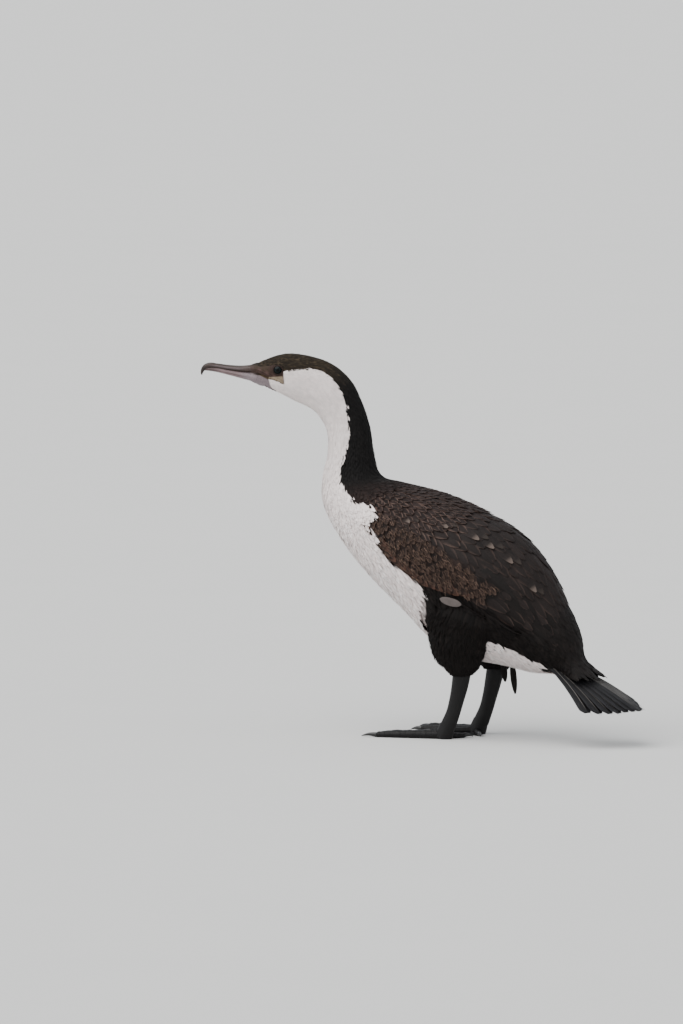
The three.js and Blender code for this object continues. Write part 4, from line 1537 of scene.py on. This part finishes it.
def make_back_coat(settings):
    """Rimmed feathers of the upper back, the long ones over the shoulders, and a few pale tips."""
    rng, colours, body = coat_start(settings, 4)
    back = Vanes()

    def on_mantle(place, girth):
        return is_dark(place, girth) & (girth < edge_at(COVERT_TOP, place) + 3)

    def on_shoulder(place, girth):
        behind = ((place > 13.0) & (place < 15.4) & (girth < 80)) | ((place > 14.6) & (girth < 72))
        return on_mantle(place, girth) | behind

    def mantle_tint(place, girth):
        early = shades(rng, colours.mantle, len(place), 0.22)
        return blend(early, shades(rng, colours.scapular, len(place), 0.16), smooth(10.6, 12.6, place))

    def rim(place, girth):
        along = smooth(8.8, 9.6, place) * (1 - 0.75 * smooth(11.2, 12.6, place))
        tint = mantle_tint(place, girth)
        pale = rgb(colours.mantle_edge)[None] * rng.uniform(0.6, 1.2, (len(place), 1))
        return blend(tint, pale, along * (0.45 + 0.55 * smooth(10, 40, girth)))

    def long_length(place, girth):
        return 42 + 2.0 * (place - 13.3) - 11 * np.maximum(place - 15, 0)

    look = {"section": BROAD_SECTION, "edge": rim}
    lay_roots(back, body, rng, 8.9, 11.6, 5.4, on_mantle, mantle_tint, growing(12, 3.4, 9), 7.2, (-3.6, 0.3),
              thick=0.4, sway=bending(0.16), **look)
    lay_roots(back, body, rng, 11.3, 13.3, 9.5, on_shoulder, mantle_tint, growing(27, 3.6, 11.3), 13.5,
              (-4.2, -0.9), ring_count=8, thick=0.6, sway=bending(0.10), row_spacing=10.5, **look)
    lay_roots(back, body, rng, 13.2, 16.9, 8.5, on_shoulder, mantle_tint, long_length, 13.0, (-4.2, -0.9),
              ring_count=10, thick=0.6, sway=bending(0.05), row_spacing=15.0, **look)
    for spot_place, spot_around in PALE_SPOTS:
        for side in SIDES.values():
            spot = np.array([spot_place, spot_place + 0.15])
            angle = side * (spot_around + np.array([0.0, -6.0]))
            reach = 24.0 if spot_place < 12 else 30.0
            place, around = advance(body, spot, angle, 0.1 * spot_around, -reach)
            tint = mantle_tint(place, np.abs(around))
            pale = rgb(colours.spot) * np.array([[0.9], [0.22]])
            lay(back, body, place, around, 0.1 * spot_around, reach, 10.5, (-3.6, 0.1), tint,
                section=BROAD_SECTION, ring_count=9, thick=0.5, edge=tint * 1.5, tip=pale)
    back.piece("back_feathers", finish_of("back_brown"), "plumage_brown")


# Middle of the pale oval on each flank: place and degrees from the back
FLANK_PATCH = (13.76, 100.2)


def oval_widths(shares):
    """Half width of an oval patch along its length, as a share."""
    return np.sqrt(np.clip(1.02 - (2 * shares - 1) ** 2, 0, 1))


def make_flank_coat(settings):
    """Black feathers of flanks and thighs, and the pale oval on each flank."""
    rng, colours, body = coat_start(settings, 5)
    flank = Vanes()
    black = shaded(rng, colours.black, 0.3)
    hair_tint = rgb(colours.black)[None]

    def below_wing(place, girth):
        return is_dark(place, girth) & (place > 12.9) & (girth > edge_at(WING_LOW, place) - 9)

    laid = lay_roots(flank, body, rng, 12.9, 17.8, 3.6, below_wing, black, 15.0, 5.0, (-3.6, 0.4), thick=0.35,
                     sway=8.0)
    hairs(flank, body, rng, *laid, 9.0, 1, 4.0, hair_tint * 1.3, (-0.4, 0.6), width=0.4)
    for name in SIDES:
        surface = thigh_form(name)
        laid = lay_roots(flank, surface, rng, 0.1, 3.5, 3.0, lambda p, g: p > 0.05, black, 13.0, 4.2,
                         (-2.8, 0.4), thick=0.35)
        hairs(flank, surface, rng, *laid, 12.0, 2, 4.0, hair_tint * 1.4, (-0.3, 0.9), width=0.45)
    patch = Vanes()
    place, degrees = FLANK_PATCH
    for side in SIDES.values():
        grey = shades(rng, colours.patch, 1, 0.05)
        lay(patch, body, np.array([place]), side * np.array([degrees]), -25.0, 22.5, 8.4, (1.2, 2.1), grey,
            section=BROAD_SECTION, ring_count=12, thick=0.3, cup=0.03, widths=oval_widths)
    patch.piece("flank_patch", finish_of("soft_white"), "plumage_white")
    flank.piece("thigh_feathers", finish_of("thigh_black"), "plumage_black")


# Wings

# Flight feathers on the side view: how many, where the first and the last start, and the curve that
# their tips lie on, in millimetres
BLADE_COUNT = 12
BLADE_ROOTS = np.array([(2.0, 150.0), (58.0, 172.0)])
BLADE_TIPS = np.array([(104.0, 95.0), (158.0, 66.0), (106.0, 124.0)])
BLADE_SECTION = np.array([
    (-1.0, 0.0), (-0.55, 0.5), (-0.08, 0.6), (0.0, 1.0), (0.08, 0.6), (0.55, 0.5), (1.0, 0.0), (0.0, -0.4),
])
FRAY_SECTION = np.array([(-1.0, 0.0), (0.0, 1.0), (1.0, 0.0)])
FRAY_HAIRS = 16
# The largest covert feathers along the low edge, on each wing
LOW_COVERTS = 15


def wing_tree(name):
    """The wing's solid, for finding points on it."""
    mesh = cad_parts["wing_" + name].data
    corners = [vertex.co.copy() for vertex in mesh.vertices]
    return BVHTree.FromPolygons(corners, [tuple(polygon.vertices) for polygon in mesh.polygons])


def on_wing(tree, side, x, z):
    """Y of the wing's outer face at a point of its side view, in millimetres."""
    start = Vector(((x + SHIFT_X) * MM, side * 0.2, z * MM))
    hit, _, _, _ = tree.ray_cast(start, Vector((0, -side, 0)))
    if hit is None or hit.y * side < 0:
        hit, _, _, _ = tree.find_nearest(Vector(((x + SHIFT_X) * MM, side * 0.02, z * MM)))
    return hit.y / MM


def wing_point(tree, side, x, z):
    """Point of the wing's outer face, in millimetres of the frame, and the way it looks."""
    step = 3.0
    dx = (on_wing(tree, side, x + step, z) - on_wing(tree, side, x - step, z)) / (2 * step)
    dz = (on_wing(tree, side, x, z + step) - on_wing(tree, side, x, z - step)) / (2 * step)
    dx, dz = np.clip([dx, dz], -1.2, 1.2)
    return [x + SHIFT_X, on_wing(tree, side, x, z), z], unit(np.array([-dx, 1.0, -dz])) * side


def bezier(a, b, c, share):
    """Curve from a to c that b draws towards itself."""
    share = share[:, None]
    return (1 - share) ** 2 * a + 2 * share * (1 - share) * b + share ** 2 * c


def lay_blade(vanes, points, normals, half, thick, tint, edge, shaft, root_uv):
    """One long feather along points, its half widths given at each, with a raised shaft."""
    along = unit(np.gradient(points, axis=0))
    across = unit(np.cross(normals, along))
    flat, high = BLADE_SECTION[None, :, 0], BLADE_SECTION[None, :, 1]
    half = half[:, None]
    aside = (half * flat)[..., None]
    rise = (thick * high - 0.10 * half * flat ** 2)[..., None]
    ring = points[:, None] + MM * (across[:, None] * aside + normals[:, None] * rise)
    t = np.broadcast_to(flat, ring.shape[:2])
    s = np.broadcast_to(np.linspace(0, 1, len(points))[:, None], ring.shape[:2])
    colour = blend(tint, edge, smooth(0.75, 1.0, np.abs(t)) * 0.8)
    is_shaft = ((high > 0.9) & (np.abs(t) < 0.05))[..., None]
    colour = np.where(is_shaft, blend(shaft, tint, smooth(0.75, 1.0, s)), colour)
    vanes.add_one(ring, colour, np.stack([0.5 + 0.5 * t, s], -1), root_uv)


def fray(vanes, rng, points, normals, half, tint, root_uv):
    """Split barbs at a long feather's worn end."""
    normal = normals[-1]
    along = unit(points[-1] - points[-3])
    across = unit(np.cross(normal, along))
    flat, high = FRAY_SECTION[:, 0], FRAY_SECTION[:, 1]
    steps = np.linspace(0, 1, 4)[:, None]
    uv = np.stack(np.broadcast_arrays(0.5 + 0.5 * flat, steps), -1)
    for _ in range(FRAY_HAIRS):
        k = rng.integers(len(points) - 4, len(points) - 1)
        aside = rng.uniform(-0.8, 0.8)
        start = points[k] + across * aside * half[k] * MM + normal * 0.1 * MM
        way = unit(along + across * (0.35 * aside + rng.normal(0, 0.08)))
        side = unit(np.cross(normal, way))
        reach = rng.uniform(5.0, 10.0) * MM
        centre = start + way * (reach * steps)
        width = 0.38 * MM * (1.05 - steps)
        height = 0.18 * MM * (1.05 - steps)
        ring = centre[:, None] + side * (width * flat)[..., None] + normal * (height * high)[..., None]
        vanes.add_one(ring, np.broadcast_to(tint * rng.uniform(0.4, 1.6), ring.shape), uv, root_uv)


def make_flight(rng, colours, name):
    """Long feathers of the folded wing, laid on its solid from the lowest to the highest."""
    side = SIDES[name]
    tree = wing_tree(name)
    flight = Vanes()
    shares = np.linspace(0, 1, 14)
    for f in np.arange(BLADE_COUNT) / (BLADE_COUNT - 1):
        root = mix(*BLADE_ROOTS, f)
        tip = bezier(*BLADE_TIPS, np.array([f ** 0.9]))[0]
        middle = (root + tip) / 2 + np.array([2.0, -5.0 + 9.0 * f])
        half = mix(7.0, 10.0, f) * np.clip(np.sin(np.pi * shares ** 0.55) ** 0.42, 0.05, 1)
        laid = [wing_point(tree, side, x, z) for x, z in bezier(root, middle, tip, shares)]
        points, normals = (np.array(values) for values in zip(*laid))
        tint = shades(rng, colours.flight, 1, 0.12)[0]
        root_uv = map_place(13.5 + 3 * f, side * (95 - 40 * f))
        line = points * MM + normals * (-2.6 + 1.4 * f) * MM
        lay_blade(flight, line, normals, half, 0.5, tint, tint * 1.45, tint * 1.2, root_uv)
    flight.piece("flight_feathers_" + name, finish_of("tail_black"), "plumage_brown", ["wing_" + name])


def make_coverts(rng, colours, body, name):
    """Small feathers over the wing's front with split barbs, and a row of larger ones under them."""
    side = SIDES[name]
    coverts = Vanes()
    place, around = roots(rng, body, 9.9, 15.1, 5.6, has_coverts, 6.4)
    own = np.sign(around) == side
    place, around = place[own], around[own]
    many = len(place)
    size = rng.uniform(0.9, 1.12, many)
    length = (14.5 + 1.5 * (place - 10)) * size
    sway = 24.0 - 2.0 * (place - 10) + rng.normal(0, 4, many)
    stray = rng.normal(0, 0.15, many)
    depth = smooth(0, 12, edge_at(COVERT_LOW, place) - np.abs(around))

    def tint():
        return shades(rng, colours.covert, many, 0.2) * mix(1.25, 1.0, depth)[:, None]

    def worn(share):
        return mix(tint(), rgb(colours.covert_tip)[None] * rng.uniform(0.5, 1.1, (many, 1)), share)

    lay(coverts, body, place, around, sway, length, 8.0 * size, (-2.6, 0.3 + stray), tint(),
        section=BROAD_SECTION, ring_count=6, thick=0.42, edge=worn(0.25), tip=worn(0.45))
    hairs(coverts, body, rng, place, around, sway, length, 17.0, 8, 8.0, rgb(colours.covert_tip)[None] * 0.95,
          (0.1, 0.5), start=0.6, width=0.24)
    place = np.linspace(10.6, 13.6, LOW_COVERTS)
    around = side * (edge_at(COVERT_LOW, place) - 6.0)
    low_tint = shades(rng, colours.covert, LOW_COVERTS, 0.15)
    rim = shades(rng, colours.covert_rim, LOW_COVERTS, 0.2)
    lay(coverts, body, place, around, 2.0 - 5.0 * (place - 11.5), 25.0, 10.0, (-2.6, 0.5), low_tint,
        section=BROAD_SECTION, ring_count=8, thick=0.5, edge=rim, tip=rim)
    coverts.piece("wing_coverts_" + name, finish_of("back_brown"), "plumage_brown")


def make_wing(settings, name):
    """One folded wing."""
    rng, colours, body = coat_start(settings, 6)
    make_flight(rng, colours, name)
    make_coverts(rng, colours, body, name)


# Tail

# Where the fan starts on the bird, in millimetres, how wide its roots and its tips spread to each
# side, which way it points and which way its upper face looks
TAIL_ROOT = np.array([120.0, 0.0, 77.5])
ROOT_SPREAD, TIP_SPREAD = 19.0, 36.0
TAIL_ALONG = unit(np.array([80.0, 0.0, -38.0]))
TAIL_UP = unit(np.array([38.0, 0.0, 80.0]))
RECTRICES = 13
# Feathers hanging loose between the thighs: root in millimetres, and length
LOOSE_FEATHERS = (((57.0, 8.0, 76.0), 32.0), ((46.0, 10.0, 76.0), 21.0))


def make_tail(settings):
    """Worn tail fan, from the outermost feathers to the middle one, and the feathers over its root."""
    rng, colours, body = coat_start(settings, 7)
    tail = Vanes()
    shares = np.linspace(0, 1, 16)
    middle = (RECTRICES - 1) / 2
    half = mix(3.4, 7.6, shares ** 0.8) * np.clip((1.02 - shares) / 0.10, 0.03, 1) ** 0.5
    for i in sorted(range(RECTRICES), key=lambda k: -abs(k - middle)):
        f = (i - middle) / middle
        # The outer feathers of the bird's left side are more worn, and hang lower
        shorter, lower = (33.0, 14.0) if f < 0 else (26.0, 3.0)
        length = 94.0 - shorter * abs(f) ** 1.6 + rng.uniform(-1.5, 1.5)
        root = TAIL_ROOT + np.array([0.0, ROOT_SPREAD * f, 0.0]) - TAIL_UP * (1.2 + 2.6 * abs(f))
        spread = TIP_SPREAD * f - 3.0
        tip = root + TAIL_ALONG * length + np.array([0.0, spread - ROOT_SPREAD * f, 0.0])
        tip = tip - TAIL_UP * lower * abs(f) ** 1.5
        line = root + (tip - root) * shares[:, None] + TAIL_UP * (2.2 * np.sin(np.pi * shares))[:, None]
        line = in_frame(line)
        normals = filled(unit(TAIL_UP + np.array([0.0, 0.25 * f, 0.0])), shares)
        tint = shades(rng, colours.tail, 1, 0.12)[0]
        root_uv = (0.9 - 0.06 * abs(f), 0.5 + 0.25 * f)
        lay_blade(tail, line, normals, half, 0.55, tint, tint * 2.6, rgb(colours.shaft), root_uv)
        fray(tail, rng, line, normals, half, tint * 3.0, root_uv)
    tail.piece("tail_fan", finish_of("tail_black"), "tail_feathers", ["tail"])

    cover = Vanes()
    lay_roots(cover, body, rng, 15.8, 17.9, 5.0, lambda p, g: g < 150,
              lambda p, g: shades(rng, colours.black, len(p), 0.25) * 1.2, growing(24.0, 2, 15.8), 8.0,
              (-3.0, -0.6), section=BROAD_SECTION, thick=0.4)
    shares = np.linspace(0, 1, 10)
    half = 3.2 * np.sin(np.pi * np.linspace(0.08, 0.97, 10)) ** 0.6
    normals = filled(unit(np.array([0.5, -0.85, 0.05])), shares)
    tint = rgb(colours.black) * 1.2
    for root, reach in LOOSE_FEATHERS:
        line = np.array(root) + shares[:, None] * np.array([0.12, 0.0, -1.0]) * reach
        lay_blade(cover, in_frame(line), normals, half, 0.4, tint, tint * 1.5, tint * 1.5, (0.85, 0.85))
    cover.piece("tail_coverts", finish_of("back_brown"), "plumage_black")


# Stage and camera

# The photo's size, and where the point on the floor between the ankles lies in it, in pixels
PHOTO_WIDTH, PHOTO_HEIGHT = 683, 1024
ANKLE_X, FLOOR_Y = 457.0, 736.0
SENSOR = 24.0
FLOOR_SIZE = 70.0
SKY_COLOUR = (0.86, 0.89, 0.93, 1.0)
LAMP_COLOUR = (1.0, 0.985, 0.96)
# Lamps: name, where it shines from, strength, and how wide it looks
LAMPS = (
    ("key", (-0.9, -1.5, 2.4), 3.6, math.radians(70)),
    ("fill", (1.6, -0.4, 1.6), 0.7, math.radians(90)),
)


def make_stage(settings):
    """Pale floor, two soft lamps and an even sky."""
    stage = settings["stage"]
    half = FLOOR_SIZE / 2
    corners = [(-half, -half, 0), (half, -half, 0), (half, half, 0), (-half, half, 0)]
    mesh = bpy.data.meshes.new("floor")
    mesh.from_pydata(corners, [], [(0, 1, 2, 3)])
    floor = bpy.data.objects.new("floor", mesh)
    bpy.context.scene.collection.objects.link(floor)
    mesh.materials.append(floor_material("floor", tuple(stage.floor_colour)))
    for name, place, strength, angle in LAMPS:
        data = bpy.data.lights.new(name, "SUN")
        data.energy = strength
        data.angle = angle
        data.color = LAMP_COLOUR
        lamp = bpy.data.objects.new(name, data)
        lamp.rotation_euler = Vector(place).to_track_quat("Z", "Y").to_euler()
        bpy.context.scene.collection.objects.link(lamp)
    world = bpy.data.worlds.new("studio")
    world.use_nodes = True
    background = world.node_tree.nodes["Background"]
    background.inputs["Color"].default_value = SKY_COLOUR
    background.inputs["Strength"].default_value = stage.sky
    bpy.context.scene.world = world


def make_camera(settings):
    """Camera at the photo's angle, placed so that the bird stands where it does in the photo."""
    stage = settings["stage"]
    turn, rise = stage.turn, stage.rise
    right = Vector((math.cos(turn), math.sin(turn), 0))
    up = Vector((-math.sin(turn) * math.sin(rise), math.cos(turn) * math.sin(rise), math.cos(rise)))
    back = right.cross(up)
    pixel = stage.view_height / PHOTO_HEIGHT
    middle = Vector((SHIFT_X * MM, 0, 0))
    middle += right * (PHOTO_WIDTH / 2 - ANKLE_X) * pixel + up * (FLOOR_Y - PHOTO_HEIGHT / 2) * pixel
    data = bpy.data.cameras.new("camera")
    data.sensor_fit = "VERTICAL"
    data.sensor_height = SENSOR
    data.lens = SENSOR * stage.distance / stage.view_height
    data.clip_end = 60.0
    camera = bpy.data.objects.new("camera", data)
    view = Matrix((right, up, back)).transposed().to_4x4()
    camera.matrix_world = Matrix.Translation(middle + back * stage.distance) @ view
    bpy.context.scene.collection.objects.link(camera)
    bpy.context.scene.camera = camera


# Add-on

def settings_of(context):
    """The scene's own colours and stage values."""
    scene = context.scene
    return {"plumage": scene.cormorant_plumage, "bare": scene.cormorant_bare, "stage": scene.cormorant_stage}


class CORMORANT_OT_camera(bpy.types.Operator):
    """Set up the camera at the photograph's angle"""
    bl_idname = "cormorant.camera"
    bl_label = "Camera"

    def execute(self, context):
        make_camera(settings_of(context))
        return {"FINISHED"}


class CORMORANT_OT_stage(bpy.types.Operator):
    """Lay the pale floor and set the soft lights"""
    bl_idname = "cormorant.stage"
    bl_label = "Stage"

    def execute(self, context):
        make_stage(settings_of(context))
        return {"FINISHED"}


class CORMORANT_OT_skin(bpy.types.Operator):
    """Make the one skin of head, neck, trunk and thighs"""
    bl_idname = "cormorant.skin"
    bl_label = "Skin"

    def execute(self, context):
        make_skin(settings_of(context))
        return {"FINISHED"}


class CORMORANT_OT_eyes(bpy.types.Operator):
    """Make both eyes and their beaded lids"""
    bl_idname = "cormorant.eyes"
    bl_label = "Eyes"

    def execute(self, context):
        make_eyes(settings_of(context))
        return {"FINISHED"}


class CORMORANT_OT_bill(bpy.types.Operator):
    """Make the hooked upper bill and the lower bill"""
    bl_idname = "cormorant.bill"
    bl_label = "Bill"

    def execute(self, context):
        make_bill(settings_of(context))
        return {"FINISHED"}


class CORMORANT_OT_legs(bpy.types.Operator):
    """Make the lower legs, toes, webs and claws"""
    bl_idname = "cormorant.legs"
    bl_label = "Legs and feet"

    def execute(self, context):
        for name in SIDES:
            make_shin(settings_of(context), name)
            make_foot(settings_of(context), name)
        return {"FINISHED"}


class CORMORANT_OT_head_coat(bpy.types.Operator):
    """Lay the small feathers of cap and cheeks"""
    bl_idname = "cormorant.head_coat"
    bl_label = "Head feathers"

    def execute(self, context):
        make_head_coat(settings_of(context))
        return {"FINISHED"}


class CORMORANT_OT_neck_coat(bpy.types.Operator):
    """Lay the feathers of the neck"""
    bl_idname = "cormorant.neck_coat"
    bl_label = "Neck feathers"

    def execute(self, context):
        make_neck_coat(settings_of(context))
        return {"FINISHED"}


class CORMORANT_OT_breast_coat(bpy.types.Operator):
    """Lay the white feathers of breast, belly and vent"""
    bl_idname = "cormorant.breast_coat"
    bl_label = "Breast feathers"

    def execute(self, context):
        make_breast_coat(settings_of(context))
        return {"FINISHED"}


class CORMORANT_OT_back_coat(bpy.types.Operator):
    """Lay the feathers of mantle and shoulders"""
    bl_idname = "cormorant.back_coat"
    bl_label = "Back feathers"

    def execute(self, context):
        make_back_coat(settings_of(context))
        return {"FINISHED"}


class CORMORANT_OT_flank_coat(bpy.types.Operator):
    """Lay the black feathers of flanks and thighs"""
    bl_idname = "cormorant.flank_coat"
    bl_label = "Flank and thigh feathers"

    def execute(self, context):
        make_flank_coat(settings_of(context))
        return {"FINISHED"}


class CORMORANT_OT_wings(bpy.types.Operator):
    """Make the folded wings' flight feathers and coverts"""
    bl_idname = "cormorant.wings"
    bl_label = "Wings"

    def execute(self, context):
        for name in SIDES:
            make_wing(settings_of(context), name)
        return {"FINISHED"}


class CORMORANT_OT_tail(bpy.types.Operator):
    """Make the tail fan and its coverts"""
    bl_idname = "cormorant.tail"
    bl_label = "Tail"

    def execute(self, context):
        make_tail(settings_of(context))
        return {"FINISHED"}


PIECES = (
    CORMORANT_OT_camera, CORMORANT_OT_stage, CORMORANT_OT_skin, CORMORANT_OT_eyes, CORMORANT_OT_bill,
    CORMORANT_OT_legs, CORMORANT_OT_wings, CORMORANT_OT_tail, CORMORANT_OT_back_coat,
    CORMORANT_OT_breast_coat, CORMORANT_OT_flank_coat, CORMORANT_OT_neck_coat, CORMORANT_OT_head_coat,
)


class CORMORANT_PT_panel(bpy.types.Panel):
    """A button for each piece and for the stage"""
    bl_label = "Cormorant"
    bl_idname = "CORMORANT_PT_panel"
    bl_space_type = "VIEW_3D"
    bl_region_type = "UI"
    bl_category = "Cormorant"

    def draw(self, context):
        for piece in PIECES:
            self.layout.operator(piece.bl_idname)


CLASSES = (CORMORANT_PG_plumage, CORMORANT_PG_bare, CORMORANT_PG_stage, *PIECES, CORMORANT_PT_panel)


def register():
    for cls in CLASSES:
        bpy.utils.register_class(cls)
    bpy.types.Scene.cormorant_plumage = bpy.props.PointerProperty(type=CORMORANT_PG_plumage)
    bpy.types.Scene.cormorant_bare = bpy.props.PointerProperty(type=CORMORANT_PG_bare)
    bpy.types.Scene.cormorant_stage = bpy.props.PointerProperty(type=CORMORANT_PG_stage)


def unregister():
    del bpy.types.Scene.cormorant_plumage
    del bpy.types.Scene.cormorant_bare
    del bpy.types.Scene.cormorant_stage
    for cls in reversed(CLASSES):
        bpy.utils.unregister_class(cls)


def main():
    register()
    bpy.ops.cormorant.camera()
    bpy.ops.cormorant.stage()
    bpy.ops.cormorant.skin()
    bpy.ops.cormorant.eyes()
    bpy.ops.cormorant.bill()
    bpy.ops.cormorant.legs()
    bpy.ops.cormorant.wings()
    bpy.ops.cormorant.tail()
    bpy.ops.cormorant.back_coat()
    bpy.ops.cormorant.breast_coat()
    bpy.ops.cormorant.flank_coat()
    bpy.ops.cormorant.neck_coat()
    bpy.ops.cormorant.head_coat()


if __name__ == "__main__":
    main()
